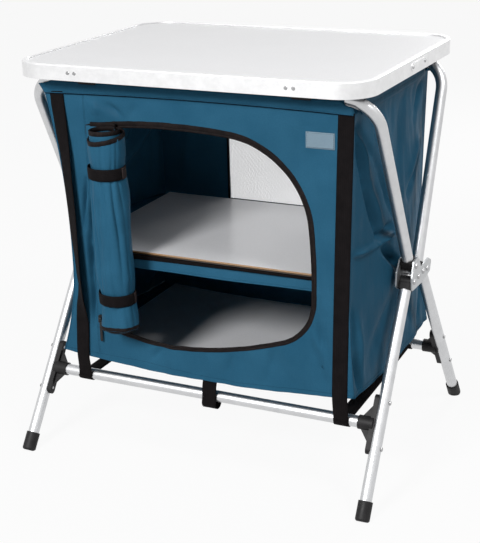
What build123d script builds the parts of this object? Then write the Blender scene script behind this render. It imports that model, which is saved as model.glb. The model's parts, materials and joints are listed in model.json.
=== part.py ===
"""Folding camping cupboard: aluminium tube stand with two side hubs, a lift-off table top and a fabric cabinet.

Millimetres, +Z up, front towards -Y. The origin is on the ground, under the middle of the stand.
"""
from math import atan2, cos, hypot, pi, sin
import os

from build123d import *

# Table top, and the table for which the widths and levels below were drawn: they follow it
TOP_WIDTH = 600.0
TOP_DEPTH = 458.0
TOP_HEIGHT = 677.0
DRAWN_WIDTH = 600.0
DRAWN_HEIGHT = 677.0
WIDEN = TOP_WIDTH / DRAWN_WIDTH
RISE = TOP_HEIGHT / DRAWN_HEIGHT
TOP_CORNER = 55.0
RIM_HEIGHT = 24.5
RIM_WALL = 1.8
RIM_LIP = 7.0
RIM_LIP_THICK = 2.0
RIM_LEDGE = 6.0
RIM_FLANGE = 12.0
RIM_ROUND = 1.7
BOARD_THICK = 5.0
BOARD_GAP = 0.3
JOINT_PLATE_LENGTH = 74.0
JOINT_PLATE_HEIGHT = 12.0
JOINT_PLATE_THICK = 0.8
JOINT_PLATE_Y = 11.0
JOINT_RIVET_SPACING = 60.0
CLIP_X = 184.0 * WIDEN
CLIP_WIDTH = 30.0
CLIP_WALL = 4.0
CLIP_GAP = 0.4
CLIP_GRIP = 3.0
CLIP_INNER_LIP = 3.2
CLIP_RIVET_SHANK = 12.0
CLIP_RIVET_HEAD = 1.2
CLIP_RIVET_SPACING = 12.0
CLIP_RIVET_R = 1.6
CLIP_RIVET_HEAD_R = 3.0
RIVET_HEAD_TAPER = 25.0

# Tubes and stand
TUBE_D = 19.0
TUBE_WALL = 1.2
TOP_BAR_INSET = 10.0
TOP_BEND_R = 52.0
TOP_BAR_X = 295.2 * WIDEN
BAR_UNDER_RIM = 0.3
HUB_X = 302.0 * WIDEN
FOOT_X = 308.7 * WIDEN
FOOT_Y = 254.0
HUB_Z = 325.0 * RISE
FRONT_ARM_PIVOT = (-24.5, HUB_Z + 20.0)
BACK_ARM_PIVOT = (14.3, HUB_Z - 1.0)
FRONT_LEG_PIVOT = (-33.0, HUB_Z - 4.5)
BACK_LEG_PIVOT = (36.0, HUB_Z - 3.0)
SPACER_POINT = (-10.0, HUB_Z - 2.5)
TUBE_START = 15.0
CROSSBAR_Z = 125.4 * RISE

# Feet
CAP_WALL = 2.0
CAP_LENGTH = 32.0
CAP_FLOOR = 4.0
CAP_ROUND = 4.0
TUBE_FIT = 0.1

# Hubs
PLATE_THICK = 2.5
PLATE_ROUND = 4.0
HUB_PLAY = 0.6
PIVOT_R = 3.0
PIVOT_FIT = 0.05
PIVOT_HEAD_R = 4.6
PIVOT_HEAD = 1.8
KNUCKLE_EYE_R = 8.8
KNUCKLE_WIDTH = 21.0
KNUCKLE_ROUND = 4.0
KNUCKLE_SHANK = 24.0
KNUCKLE_SIDE_GAP = 0.3
SPACER_R = 6.0

# Crossbar brackets
SOCKET_WALL = 1.9
SOCKET_LENGTH = 20.0
FLANGE_LENGTH = 96.0
FLANGE_WIDTH = 15.0
FLANGE_THICK = 5.0
GUSSET_REACH = 23.0
GUSSET_THICK = 3.0
GUSSET_SHY = 2.0
GUSSET_STEP = 4.0
BRACKET_RIVET_SPACING = 74.0
BRACKET_RIVET_R = 2.4
BRACKET_RIVET_HEAD_R = 4.0
BRACKET_RIVET_HEAD = 1.6

# Fabric cabinet
CLOTH = 1.4
CABINET_HALF_DEPTH = 183.0
CORNER_X_TOP = 266.0 * WIDEN
CORNER_X_WAIST = 247.0 * WIDEN
CORNER_X_WAIST_BACK = 257.0 * WIDEN
CORNER_X_FOOT = 268.0 * WIDEN
SIDE_X_TOP = 273.0 * WIDEN
SIDE_X_HUB = 284.5 * WIDEN
SIDE_X_FOOT = 281.0 * WIDEN
WAIST_Z = 335.0 * RISE
SEAM_UNDER_BAR = 14.7
SIDE_SEAM_DROP = 4.0
BAND_OVER_BAR = 7.8
HEM_Z_CORNER = 171.0 * RISE
HEM_Z_MIDDLE = 157.0 * RISE
CORNER_FLARE_UP = 1.3
CORNER_FLARE_DOWN = 1.6
SIDE_BULGE_POWER = 2.2
FOLD_DEPTH = 5.0
FOLD_COUNT = 5
FOLD_REACH = 330.0 * RISE
CLOTH_GAP = 0.4
SLEEVE_END_GAP = 1.2
SLEEVE_GAP = 0.3

# Door
DOOR_LEFT = -192.0 * WIDEN
DOOR_BINDING = 6.0
BINDING_THICK = 1.2
DOOR_TOP_Z = 567.0 * RISE
DOOR_FOOT_Z = 234.0 * RISE
ROLL_TOP = (-139.0 * WIDEN, 577.0 * RISE)
ROLL_BOTTOM = (-129.0 * WIDEN, 241.0 * RISE)
ROLL_R = 33.0
ROLL_PITCH = 7.0
ROLL_SHEET = 4.0
ROLL_TURNS = 3
FLAP_FOOT = 18.0
TIE_WIDTH = 19.0
TIE_THICK = 1.4
TIE_Z = (510.0 * RISE, 300.0 * RISE)
SLIDER_X = DOOR_LEFT + 7.0
SLIDER_Z = DOOR_FOOT_Z + 7.0
SLIDER_WIDTH = 9.0
SLIDER_LENGTH = 13.0
SLIDER_THICK = 3.0
SLIDER_ROUND = 3.0
SLIDER_EYE_R = 2.4
SLIDER_EYE_WALL = 1.2
SLIDER_EYE_WIDTH = 4.0
SLIDER_PLAY = 0.3
PULL_LENGTH = 36.0
PULL_WIDTH = 4.6
PULL_THICK = 1.2
PULL_BAR = 1.2
PULL_LOOP = 5.2
PULL_LOOP_WIDTH = 8.4

# Straps
STRAP_WIDTH = 25.5
STRAP_THICK = 1.6
STRAP_X_TOP = 251.0 * WIDEN
STRAP_X_FOOT = 240.5 * WIDEN
LEFT_STRAP_SHIFT = 10.0
CENTRE_STRAP_X = 11.0 * WIDEN
LOOP_GAP = 0.35
CENTRE_SLACK = 12.0
CENTRE_STRAP_SHY = 1.0

# Boards, shelf and patch
SHELF_TOP_Z = 363.0 * RISE
SHELF_THICK = 5.0
FLOOR_CLOTH_Z = 161.5 * RISE
FLOOR_SAG = 9.5
FLOOR_THICK = 4.0
SLING_SET_BACK = 12.0
BOARD_PLAY = 3.0
INNER_HALF_WIDTH = 240.0 * WIDEN
FLOOR_BOARD_SHY = 11.0
SHELF_BAND = 18.0
PATCH_OFF_STRAP = 2.25
PATCH_Z = 580.0 * RISE
PATCH_WIDTH = 46.0
PATCH_HEIGHT = 25.0
PATCH_THICK = 0.8
PATCH_ROUND = 1.5
MESH_HALF_WIDTH = 110.0 * WIDEN
MESH_LOW_Z = 385.0 * RISE
MESH_HIGH_Z = 590.0 * RISE
MESH_COLUMNS = 15
MESH_ROWS = 14
MESH_HOLE = 0.7
MESH_THICK = 0.8
MESH_MARGIN = 8.0
WINDOW_BINDING = 7.0

TUBE_R = TUBE_D / 2
RIM_LOW_Z = TOP_HEIGHT - RIM_HEIGHT
TOP_BAR_Z = RIM_LOW_Z - TUBE_R - BAR_UNDER_RIM
PLATE_GAP = TUBE_D + 2 * HUB_PLAY
FRONT_Y = -CABINET_HALF_DEPTH
TOP_BAR_Y = CABINET_HALF_DEPTH - TOP_BAR_INSET
SEAM_Z = TOP_BAR_Z - SEAM_UNDER_BAR
SIDE_SEAM_Z = SEAM_Z - SIDE_SEAM_DROP
BAND_TOP_Z = TOP_BAR_Z + BAND_OVER_BAR
SLEEVE_HALF_LENGTH = TOP_BAR_X - TOP_BEND_R - SLEEVE_END_GAP
PATCH_X = STRAP_X_TOP - STRAP_WIDTH / 2 - PATCH_OFF_STRAP - PATCH_WIDTH / 2
STRAPS = {1: (STRAP_X_TOP, STRAP_X_FOOT), -1: (LEFT_STRAP_SHIFT - STRAP_X_TOP, LEFT_STRAP_SHIFT - STRAP_X_FOOT)}

os.makedirs("parts", exist_ok=True)


def save(name, piece):
    """Names one finished piece and writes its STEP file."""
    piece.label = name
    export_step(piece, f"parts/{name}.step")


def save_mirrored(name, piece, plane):
    """Writes the mirror image of a finished piece under its own name."""
    with BuildPart() as other:
        add(mirror(piece, about=plane))
    save(name, other.part)
    return other.part


def rim_outline(inset):
    """The table's rounded outline, drawn in by a distance."""
    return RectangleRounded(TOP_WIDTH - 2 * inset, TOP_DEPTH - 2 * inset, TOP_CORNER - inset)


# The table top: a board inside a bent extrusion
LIP_LOW_Z = TOP_HEIGHT - RIM_LIP_THICK
BOARD_LOW_Z = LIP_LOW_Z - BOARD_GAP - BOARD_THICK
LEDGE_HIGH_Z = BOARD_LOW_Z - BOARD_GAP
RIVET_Z = RIM_LOW_Z + RIM_HEIGHT / 2

with BuildPart() as table_edge_frame:
    with BuildSketch(Plane.XY.offset(RIM_LOW_Z)):
        rim_outline(0)
    extrude(amount=RIM_HEIGHT)
    fillet(table_edge_frame.edges().group_by(Axis.Z)[-1], RIM_ROUND)
    with BuildSketch(Plane.XY.offset(RIM_LOW_Z)):
        rim_outline(RIM_WALL + RIM_FLANGE)
    extrude(amount=RIM_WALL, mode=Mode.SUBTRACT)
    with BuildSketch(Plane.XY.offset(RIM_LOW_Z + RIM_WALL)):
        rim_outline(RIM_WALL)
    extrude(amount=LEDGE_HIGH_Z - RIM_WALL - RIM_LOW_Z - RIM_WALL, mode=Mode.SUBTRACT)
    with BuildSketch(Plane.XY.offset(LEDGE_HIGH_Z - RIM_WALL)):
        rim_outline(RIM_WALL + RIM_LEDGE)
    extrude(amount=RIM_WALL, mode=Mode.SUBTRACT)
    with BuildSketch(Plane.XY.offset(LEDGE_HIGH_Z)):
        rim_outline(RIM_WALL)
    extrude(amount=LIP_LOW_Z - LEDGE_HIGH_Z, mode=Mode.SUBTRACT)
    with BuildSketch(Plane.XY.offset(LIP_LOW_Z)):
        rim_outline(RIM_LIP)
    extrude(amount=RIM_LIP_THICK, mode=Mode.SUBTRACT)
    with Locations([(side * (CLIP_X + step), 0, RIVET_Z)
                    for side in (-1, 1) for step in (-CLIP_RIVET_SPACING / 2, CLIP_RIVET_SPACING / 2)]):
        Cylinder(CLIP_RIVET_R + PIVOT_FIT, TOP_DEPTH + 2, rotation=(90, 0, 0), mode=Mode.SUBTRACT)
    with Locations([(TOP_WIDTH / 2, JOINT_PLATE_Y + step, RIVET_Z)
                    for step in (-JOINT_RIVET_SPACING / 2, JOINT_RIVET_SPACING / 2)]):
        Cylinder(CLIP_RIVET_R + PIVOT_FIT, 2 * RIM_FLANGE, rotation=(0, 90, 0), mode=Mode.SUBTRACT)
save("table_edge_frame", table_edge_frame.part)

with BuildPart() as table_board:
    with BuildSketch(Plane.XY.offset(BOARD_LOW_Z)):
        rim_outline(RIM_WALL + BOARD_GAP)
    extrude(amount=BOARD_THICK)
save("table_board", table_board.part)

with BuildPart() as edge_joint_plate:
    with BuildSketch(Plane.YZ.offset(TOP_WIDTH / 2)):
        with Locations((JOINT_PLATE_Y, RIVET_Z)):
            SlotOverall(JOINT_PLATE_LENGTH, JOINT_PLATE_HEIGHT)
        with Locations([(JOINT_PLATE_Y + step, RIVET_Z)
                        for step in (-JOINT_RIVET_SPACING / 2, JOINT_RIVET_SPACING / 2)]):
            Circle(CLIP_RIVET_R + PIVOT_FIT, mode=Mode.SUBTRACT)
    extrude(amount=JOINT_PLATE_THICK)
save("edge_joint_plate", edge_joint_plate.part)


def rivet(start, along, length, shank_r, head_r, head):
    """A pan head rivet whose head lies on the start point, with its shank running back along a direction."""
    plane = Plane(origin=start, z_dir=along)
    with BuildPart(mode=Mode.PRIVATE) as one:
        with BuildSketch(plane):
            Circle(head_r)
        extrude(amount=head, taper=RIVET_HEAD_TAPER)
        with BuildSketch(plane):
            Circle(shank_r)
        extrude(amount=-length)
    return one.part


with BuildPart() as edge_joint_rivets:
    for step in (-JOINT_RIVET_SPACING / 2, JOINT_RIVET_SPACING / 2):
        add(rivet((TOP_WIDTH / 2 + JOINT_PLATE_THICK, JOINT_PLATE_Y + step, RIVET_Z), (1, 0, 0),
                  JOINT_PLATE_THICK + RIM_WALL, CLIP_RIVET_R, CLIP_RIVET_HEAD_R, CLIP_RIVET_HEAD))
save("edge_joint_rivets", edge_joint_rivets.part)

# Clips: a saddle over the bar, its inner side short so that the bar can swing away, with an arm out to the rim
CLIP_BACK_Y = TOP_DEPTH / 2 - RIM_WALL
CLIP_LOW_Z = TOP_BAR_Z - CLIP_GRIP
CLIP_HIGH_Z = LEDGE_HIGH_Z - RIM_WALL - BOARD_GAP
CLIP_HALF = TUBE_R + CLIP_GAP + CLIP_WALL
with BuildPart() as table_clips:
    for side in (-1, 1):
        with BuildSketch(Plane.YZ.offset(side * CLIP_X - CLIP_WIDTH / 2)):
            with Locations((-TOP_BAR_Y, CLIP_LOW_Z)):
                Rectangle(2 * CLIP_HALF, CLIP_HIGH_Z - CLIP_LOW_Z, align=(Align.CENTER, Align.MIN))
            with Locations((-CLIP_BACK_Y, CLIP_HIGH_Z)):
                Rectangle(CLIP_BACK_Y - TOP_BAR_Y, CLIP_HIGH_Z - RIM_LOW_Z - RIM_WALL - BOARD_GAP,
                          align=(Align.MIN, Align.MAX))
            with Locations((-TOP_BAR_Y, TOP_BAR_Z)):
                Circle(TUBE_R + CLIP_GAP, mode=Mode.SUBTRACT)
                Rectangle(2 * (TUBE_R + CLIP_GAP), CLIP_GRIP + 1, align=(Align.CENTER, Align.MAX),
                          mode=Mode.SUBTRACT)
            with Locations((-TOP_BAR_Y, TOP_BAR_Z + CLIP_INNER_LIP)):
                Rectangle(2 * CLIP_HALF, 2 * CLIP_HALF, align=(Align.MIN, Align.MAX), mode=Mode.SUBTRACT)
        extrude(amount=CLIP_WIDTH)
    with Locations([(side * (CLIP_X + step), -CLIP_BACK_Y, RIVET_Z)
                    for side in (-1, 1) for step in (-CLIP_RIVET_SPACING / 2, CLIP_RIVET_SPACING / 2)]):
        Cylinder(CLIP_RIVET_R + PIVOT_FIT, 2 * CLIP_RIVET_SHANK + 2, rotation=(90, 0, 0), mode=Mode.SUBTRACT)
    mirror(about=Plane.XZ)
save("table_clips", table_clips.part)

with BuildPart() as table_clip_rivets:
    for side in (-1, 1):
        for step in (-CLIP_RIVET_SPACING / 2, CLIP_RIVET_SPACING / 2):
            add(rivet((side * (CLIP_X + step), -TOP_DEPTH / 2, RIVET_Z), (0, -1, 0),
                      RIM_WALL + CLIP_RIVET_SHANK, CLIP_RIVET_R, CLIP_RIVET_HEAD_R, CLIP_RIVET_HEAD))
    mirror(about=Plane.XZ)
save("table_clip_rivets", table_clip_rivets.part)


def arm_plane(pivot, side):
    """The leaning plane of one top tube: origin at the hub pivot, local y up along the arm."""
    run = TOP_BAR_Y - abs(pivot[0])
    rise = TOP_BAR_Z - pivot[1]
    along = Vector(0, side * run, rise).normalized()
    return Plane(origin=(0, pivot[0], pivot[1]), x_dir=(1, 0, 0), z_dir=Vector(1, 0, 0).cross(along))


def arm_length(pivot):
    return hypot(TOP_BAR_Y - abs(pivot[0]), TOP_BAR_Z - pivot[1])


def top_tube(pivot, side):
    """An inverted U: two arms that splay a little, joined by the bar that carries the table."""
    length = arm_length(pivot)
    slope = (HUB_X - TOP_BAR_X) / length
    start = (HUB_X - slope * TUBE_START, TUBE_START)
    with BuildPart(mode=Mode.PRIVATE) as tube:
        with BuildLine(arm_plane(pivot, side)) as path:
            FilletPolyline(start, (TOP_BAR_X, length), (-TOP_BAR_X, length), (-start[0], start[1]),
                           radius=TOP_BEND_R)
        with BuildSketch(Plane(origin=path.line @ 0, z_dir=path.line % 0)):
            Circle(TUBE_R)
            Circle(TUBE_R - TUBE_WALL, mode=Mode.SUBTRACT)
        sweep(path=path.line)
    return tube.part


save("front_top_tube", top_tube(FRONT_ARM_PIVOT, -1))
save("back_top_tube", top_tube(BACK_ARM_PIVOT, 1))


def leg_plane(pivot, side_x, side_y):
    """Origin at the hub pivot, z down the leg, x level along the ground towards +X where it can."""
    foot = Vector(side_x * FOOT_X, side_y * FOOT_Y, 0)
    top = Vector(side_x * HUB_X, pivot[0], pivot[1])
    down = (foot - top).normalized()
    return Plane(origin=top, x_dir=Vector(0, 1, 0).cross(down), z_dir=down)


def leg_length(pivot):
    return Vector(FOOT_X - HUB_X, FOOT_Y - abs(pivot[0]), pivot[1]).length


def leg_share(pivot):
    """How far down the leg its crossbar lies, from 0 at the pivot to 1 at the ground."""
    return (pivot[1] - CROSSBAR_Z) / pivot[1]


def crossbar_y(pivot):
    return abs(pivot[0]) + (FOOT_Y - abs(pivot[0])) * leg_share(pivot)


FOOT_LEAN = atan2(FOOT_Y - abs(FRONT_LEG_PIVOT[0]), FRONT_LEG_PIVOT[1])
CAP_OUTER_R = TUBE_R + TUBE_FIT + CAP_WALL
CAP_RISE = CAP_OUTER_R * sin(FOOT_LEAN) / cos(FOOT_LEAN)


def bracket_rivet_planes(pivot, side_x, side_y):
    """Planes on the leg's axis at its two bracket rivets, z pointing away from the cabinet."""
    plane = leg_plane(pivot, side_x, side_y)
    outward = plane.x_dir if plane.x_dir.X * side_x > 0 else -plane.x_dir
    bar = leg_length(pivot) * leg_share(pivot)
    return [Plane(origin=plane.from_local_coords(Vector(0, 0, bar + step)), x_dir=plane.z_dir, z_dir=outward)
            for step in (-BRACKET_RIVET_SPACING / 2, BRACKET_RIVET_SPACING / 2)]


def leg(pivot, side_x, side_y):
    """One leg tube, drilled for the two rivets of its crossbar bracket."""
    plane = leg_plane(pivot, side_x, side_y)
    length = leg_length(pivot)
    with BuildPart(mode=Mode.PRIVATE) as tube:
        with BuildSketch(plane.offset(TUBE_START)):
            Circle(TUBE_R)
            Circle(TUBE_R - TUBE_WALL, mode=Mode.SUBTRACT)
        extrude(amount=length - TUBE_START - CAP_RISE - CAP_FLOOR)
        for drilled in bracket_rivet_planes(pivot, side_x, side_y):
            with BuildSketch(drilled):
                Circle(BRACKET_RIVET_R + PIVOT_FIT)
            extrude(amount=TUBE_D, both=True, mode=Mode.SUBTRACT)
    return tube.part


def foot_cap(pivot, side_x, side_y):
    """A moulded cap over the leg's end, its sole flat on the ground."""
    plane = leg_plane(pivot, side_x, side_y)
    length = leg_length(pivot)
    with BuildPart(mode=Mode.PRIVATE) as cap:
        with BuildSketch(plane.offset(length)):
            Circle(CAP_OUTER_R)
        extrude(amount=-CAP_LENGTH)
        fillet(cap.edges().group_by(Axis.Z)[0], CAP_ROUND)
        with BuildSketch(plane.offset(length - CAP_RISE - CAP_FLOOR + BOARD_GAP)):
            Circle(TUBE_R + TUBE_FIT)
        extrude(amount=-CAP_LENGTH, mode=Mode.SUBTRACT)
        split(bisect_by=Plane.XY, keep=Keep.TOP)
    return cap.part


for name, pivot, side_y in (("front", FRONT_LEG_PIVOT, -1), ("back", BACK_LEG_PIVOT, 1)):
    save(f"right_{name}_leg", leg(pivot, 1, side_y))
    save(f"left_{name}_leg", leg(pivot, -1, side_y))
    with BuildPart() as caps:
        for side_x in (-1, 1):
            add(foot_cap(pivot, side_x, side_y))
    save(f"{name}_foot_caps", caps.part)

# Crossbars and their brackets
def flange_inner_x(pivot):
    """Where the leg's inner side stands at the height of its crossbar."""
    return HUB_X + (FOOT_X - HUB_X) * leg_share(pivot) - TUBE_R


def crossbar(pivot, side_y):
    half = flange_inner_x(pivot) - FLANGE_THICK
    with BuildPart(mode=Mode.PRIVATE) as bar:
        with BuildSketch(Plane.YZ.offset(-half)):
            with Locations((side_y * crossbar_y(pivot), CROSSBAR_Z)):
                Circle(TUBE_R)
                Circle(TUBE_R - TUBE_WALL, mode=Mode.SUBTRACT)
        extrude(amount=2 * half)
    return bar.part


def tee_bracket(pivot, side_x, side_y):
    """Socket for the crossbar, a flange that lies along the leg, and gussets between the two."""
    down = leg_plane(pivot, side_x, side_y)
    inner = side_x * flange_inner_x(pivot)
    origin = Vector(inner, side_y * crossbar_y(pivot), CROSSBAR_Z)
    face = Plane(origin=origin, x_dir=down.z_dir, z_dir=(down.z_dir.cross(Vector(0, 1, 0))) * side_x)
    if face.z_dir.X * side_x > 0:
        face = Plane(origin=origin, x_dir=down.z_dir, z_dir=-face.z_dir)
    socket_r = TUBE_R + TUBE_FIT + SOCKET_WALL
    with BuildPart(mode=Mode.PRIVATE) as bracket:
        with BuildSketch(face.offset(-TUBE_R / 3)):
            SlotOverall(FLANGE_LENGTH, FLANGE_WIDTH)
        extrude(amount=FLANGE_THICK + TUBE_R / 3)
        with BuildSketch(Plane(origin=origin, z_dir=(-side_x, 0, 0))):
            Circle(socket_r)
        extrude(amount=FLANGE_THICK + SOCKET_LENGTH)
        with BuildSketch(Plane(origin=origin, x_dir=face.x_dir, z_dir=face.x_dir.cross(face.z_dir))):
            with BuildLine():
                Polyline((-socket_r - GUSSET_REACH, FLANGE_THICK / 2), (socket_r + GUSSET_REACH, FLANGE_THICK / 2),
                         (socket_r - GUSSET_SHY, FLANGE_THICK + SOCKET_LENGTH - GUSSET_STEP),
                         (GUSSET_SHY - socket_r, FLANGE_THICK + SOCKET_LENGTH - GUSSET_STEP), close=True)
            make_face()
        extrude(amount=GUSSET_THICK / 2, both=True)
        with BuildSketch(Plane(origin=origin + Vector(-side_x * FLANGE_THICK, 0, 0), z_dir=(-side_x, 0, 0))):
            Circle(TUBE_R + TUBE_FIT)
        extrude(amount=2 * SOCKET_LENGTH, mode=Mode.SUBTRACT)
        with BuildSketch(down):
            Circle(TUBE_R + TUBE_FIT)
        extrude(amount=leg_length(pivot), mode=Mode.SUBTRACT)
        for plane in bracket_rivet_planes(pivot, side_x, side_y):
            with BuildSketch(plane):
                Circle(BRACKET_RIVET_R + PIVOT_FIT)
            extrude(amount=TUBE_D, both=True, mode=Mode.SUBTRACT)
    return bracket.part


def bracket_rivets(pivot, side_x, side_y):
    """Two rivets from the leg's outer side, through the tube and the bracket's flange."""
    return [rivet(plane.origin + plane.z_dir * TUBE_R, plane.z_dir, TUBE_D + FLANGE_THICK, BRACKET_RIVET_R,
                  BRACKET_RIVET_HEAD_R, BRACKET_RIVET_HEAD)
            for plane in bracket_rivet_planes(pivot, side_x, side_y)]


for name, pivot, side_y in (("front", FRONT_LEG_PIVOT, -1), ("back", BACK_LEG_PIVOT, 1)):
    save(f"{name}_crossbar", crossbar(pivot, side_y))
    with BuildPart() as brackets:
        for side_x in (-1, 1):
            add(tee_bracket(pivot, side_x, side_y))
    save(f"{name}_tee_brackets", brackets.part)
    with BuildPart() as rivets:
        for side_x in (-1, 1):
            for one in bracket_rivets(pivot, side_x, side_y):
                add(one)
    save(f"{name}_bracket_rivets", rivets.part)

# Hubs: two plates round the ends of the four tubes
HUB_POINTS = [FRONT_ARM_PIVOT, BACK_ARM_PIVOT, FRONT_LEG_PIVOT, BACK_LEG_PIVOT, SPACER_POINT]
OUTER_PLATE = [(-43, -17), (12, -18.5), (52, -12), (58, 5), (41, 14), (3, 10), (-7, 26), (-18, 34), (-36, 31), (-44, 5)]
INNER_PLATE = [(-55, -9), (-38, -18), (12, -18.5), (46, -14), (50, 7), (12, 12), (2, 27), (-14, 34), (-37, 34),
               (-52, 15)]
PLATE_IN_X = HUB_X - PLATE_GAP / 2
PLATE_OUT_X = HUB_X + PLATE_GAP / 2


def hub_plate(outline, low_x):
    """One stamped plate, its outline given about the hub's centre."""
    with BuildPart(mode=Mode.PRIVATE) as plate:
        with BuildSketch(Plane.YZ.offset(low_x)) as face:
            with BuildLine():
                Polyline(*[(y, HUB_Z + rise) for y, rise in outline], close=True)
            make_face()
            fillet(face.vertices(), PLATE_ROUND)
            with Locations(HUB_POINTS):
                Circle(PIVOT_R + PIVOT_FIT, mode=Mode.SUBTRACT)
        extrude(amount=PLATE_THICK)
    return plate.part


right_outer = hub_plate(OUTER_PLATE, PLATE_OUT_X)
right_inner = hub_plate(INNER_PLATE, PLATE_IN_X - PLATE_THICK)
save("right_hub_outer_plate", right_outer)
save("right_hub_inner_plate", right_inner)
save_mirrored("left_hub_outer_plate", right_outer, Plane.YZ)
save_mirrored("left_hub_inner_plate", right_inner, Plane.YZ)

with BuildPart() as hub_rivets:
    for y, z in HUB_POINTS:
        inside = PLATE_IN_X - PLATE_THICK - PIVOT_HEAD
        with BuildSketch(Plane.YZ.offset(inside)):
            with Locations((y, z)):
                Circle(PIVOT_HEAD_R)
        extrude(amount=PIVOT_HEAD)
        with BuildSketch(Plane.YZ.offset(inside)):
            with Locations((y, z)):
                Circle(PIVOT_R)
        extrude(amount=PLATE_GAP + 2 * PLATE_THICK + PIVOT_HEAD)
        add(rivet((PLATE_OUT_X + PLATE_THICK, y, z), (1, 0, 0), PLATE_THICK, PIVOT_R, PIVOT_HEAD_R, PIVOT_HEAD))
    mirror(about=Plane.YZ)
save("hub_rivets", hub_rivets.part)

with BuildPart() as hub_spacers:
    with BuildSketch(Plane.YZ.offset(PLATE_IN_X + PIVOT_FIT)):
        with Locations(SPACER_POINT):
            Circle(SPACER_R)
            Circle(PIVOT_R + PIVOT_FIT, mode=Mode.SUBTRACT)
    extrude(amount=PLATE_GAP - 2 * PIVOT_FIT)
    mirror(about=Plane.YZ)
save("hub_spacers", hub_spacers.part)


def knuckle(plane, width_dir):
    """A moulded tube end: an eye on the hub rivet, a shoulder as wide as the plates allow, a shank in the tube."""
    half = PLATE_GAP / 2 - KNUCKLE_SIDE_GAP
    with BuildPart(mode=Mode.PRIVATE) as end:
        with BuildSketch(Plane(origin=plane.origin, x_dir=width_dir, z_dir=(1, 0, 0))):
            Circle(KNUCKLE_EYE_R)
        extrude(amount=half, both=True)
        with BuildSketch(plane.offset(KNUCKLE_EYE_R / 2)):
            RectangleRounded(2 * half, KNUCKLE_WIDTH, KNUCKLE_ROUND)
        extrude(amount=TUBE_START - KNUCKLE_EYE_R / 2 - TUBE_FIT)
        with BuildSketch(plane.offset(KNUCKLE_EYE_R)):
            Circle(TUBE_R - TUBE_WALL - TUBE_FIT)
        extrude(amount=KNUCKLE_SHANK)
        with BuildSketch(Plane(origin=plane.origin, z_dir=(1, 0, 0))):
            Circle(PIVOT_R + PIVOT_FIT)
        extrude(amount=TUBE_D, both=True, mode=Mode.SUBTRACT)
        split(bisect_by=Plane.YZ.offset(plane.origin.X - half), keep=Keep.TOP)
        split(bisect_by=Plane.YZ.offset(plane.origin.X + half), keep=Keep.BOTTOM)
    return end.part


def arm_axis_plane(pivot, side_x, side_y):
    """Origin at the hub pivot, z up along the arm."""
    leaning = arm_plane(pivot, side_y)
    length = arm_length(pivot)
    slope = side_x * (TOP_BAR_X - HUB_X) / length
    along = (leaning.y_dir + Vector(slope, 0, 0)).normalized()
    return Plane(origin=(side_x * HUB_X, pivot[0], pivot[1]), x_dir=Vector(0, 1, 0).cross(along), z_dir=along)


for name, pivot, side_y in (("front_arm", FRONT_ARM_PIVOT, -1), ("back_arm", BACK_ARM_PIVOT, 1)):
    with BuildPart() as ends:
        for side_x in (-1, 1):
            add(knuckle(arm_axis_plane(pivot, side_x, side_y), (0, 1, 0)))
    save(f"{name}_knuckles", ends.part)
for name, pivot, side_y in (("front_leg", FRONT_LEG_PIVOT, -1), ("back_leg", BACK_LEG_PIVOT, 1)):
    with BuildPart() as ends:
        for side_x in (-1, 1):
            add(knuckle(leg_plane(pivot, side_x, side_y), (0, 1, 0)))
    save(f"{name}_knuckles", ends.part)


# Fabric cabinet
def corner_x(z, waist):
    """Half width at the cabinet's corners: drawn in at the waist, wider at the seam and the hem."""
    if z >= WAIST_Z:
        share = (z - WAIST_Z) / (SEAM_Z - WAIST_Z)
        return waist + (CORNER_X_TOP - waist) * share ** CORNER_FLARE_UP
    share = (WAIST_Z - z) / (WAIST_Z - HEM_Z_CORNER)
    return waist + (CORNER_X_FOOT - waist) * share ** CORNER_FLARE_DOWN


def side_x_at(y, z):
    """The side panel's surface: pushed out in the middle at the hub, with folds that fan up from there."""
    if z >= WAIST_Z:
        middle = SIDE_X_HUB + (SIDE_X_TOP - SIDE_X_HUB) * (z - WAIST_Z) / (SEAM_Z - WAIST_Z)
    else:
        middle = SIDE_X_HUB + (SIDE_X_FOOT - SIDE_X_HUB) * (WAIST_Z - z) / (WAIST_Z - HEM_Z_CORNER)
    to_back = (y / CABINET_HALF_DEPTH + 1) / 2
    corner = corner_x(z, CORNER_X_WAIST + (CORNER_X_WAIST_BACK - CORNER_X_WAIST) * to_back)
    across = max(1 - abs(y / CABINET_HALF_DEPTH) ** SIDE_BULGE_POWER, 0.0)
    reach = min(hypot(y, z - WAIST_Z) / FOLD_REACH, 1.0)
    fan = atan2(z - WAIST_Z, abs(y) + CLOTH)
    fold = FOLD_DEPTH * (cos(FOLD_COUNT * fan) - 1) / 2 * sin(pi * reach) * across ** 0.5
    return corner + (middle - corner) * across + fold


DOOR_TOP_LEFT = (DOOR_LEFT + DOOR_BINDING, DOOR_TOP_Z)
DOOR_FOOT_LEFT = (DOOR_LEFT + DOOR_BINDING, DOOR_FOOT_Z)
DOOR_ARCS = [((-60, 578), (60, 573)), ((148, 535), (195, 440)), ((199, 385), (199, 325)), ((187, 281), (150, 250)),
             ((50, 222), (-50, 209.5)), ((-115, 215), None)]


def in_panel(point):
    """A point drawn on the front panel, moved with the table's width and height."""
    return (point[0] * WIDEN, point[1] * RISE)


def door_face(grow):
    """The D-shaped opening in the front panel: a row of arcs that ends in the straight edge beside the roll."""
    with BuildSketch(Plane.XZ, mode=Mode.PRIVATE) as opening:
        with BuildLine():
            start = DOOR_TOP_LEFT
            for middle, end in DOOR_ARCS[:-1]:
                ThreePointArc(start, in_panel(middle), in_panel(end))
                start = in_panel(end)
            ThreePointArc(start, in_panel(DOOR_ARCS[-1][0]), DOOR_FOOT_LEFT)
            Line(DOOR_FOOT_LEFT, DOOR_TOP_LEFT)
        make_face()
        if grow:
            offset(amount=grow)
    return opening.sketch


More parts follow.
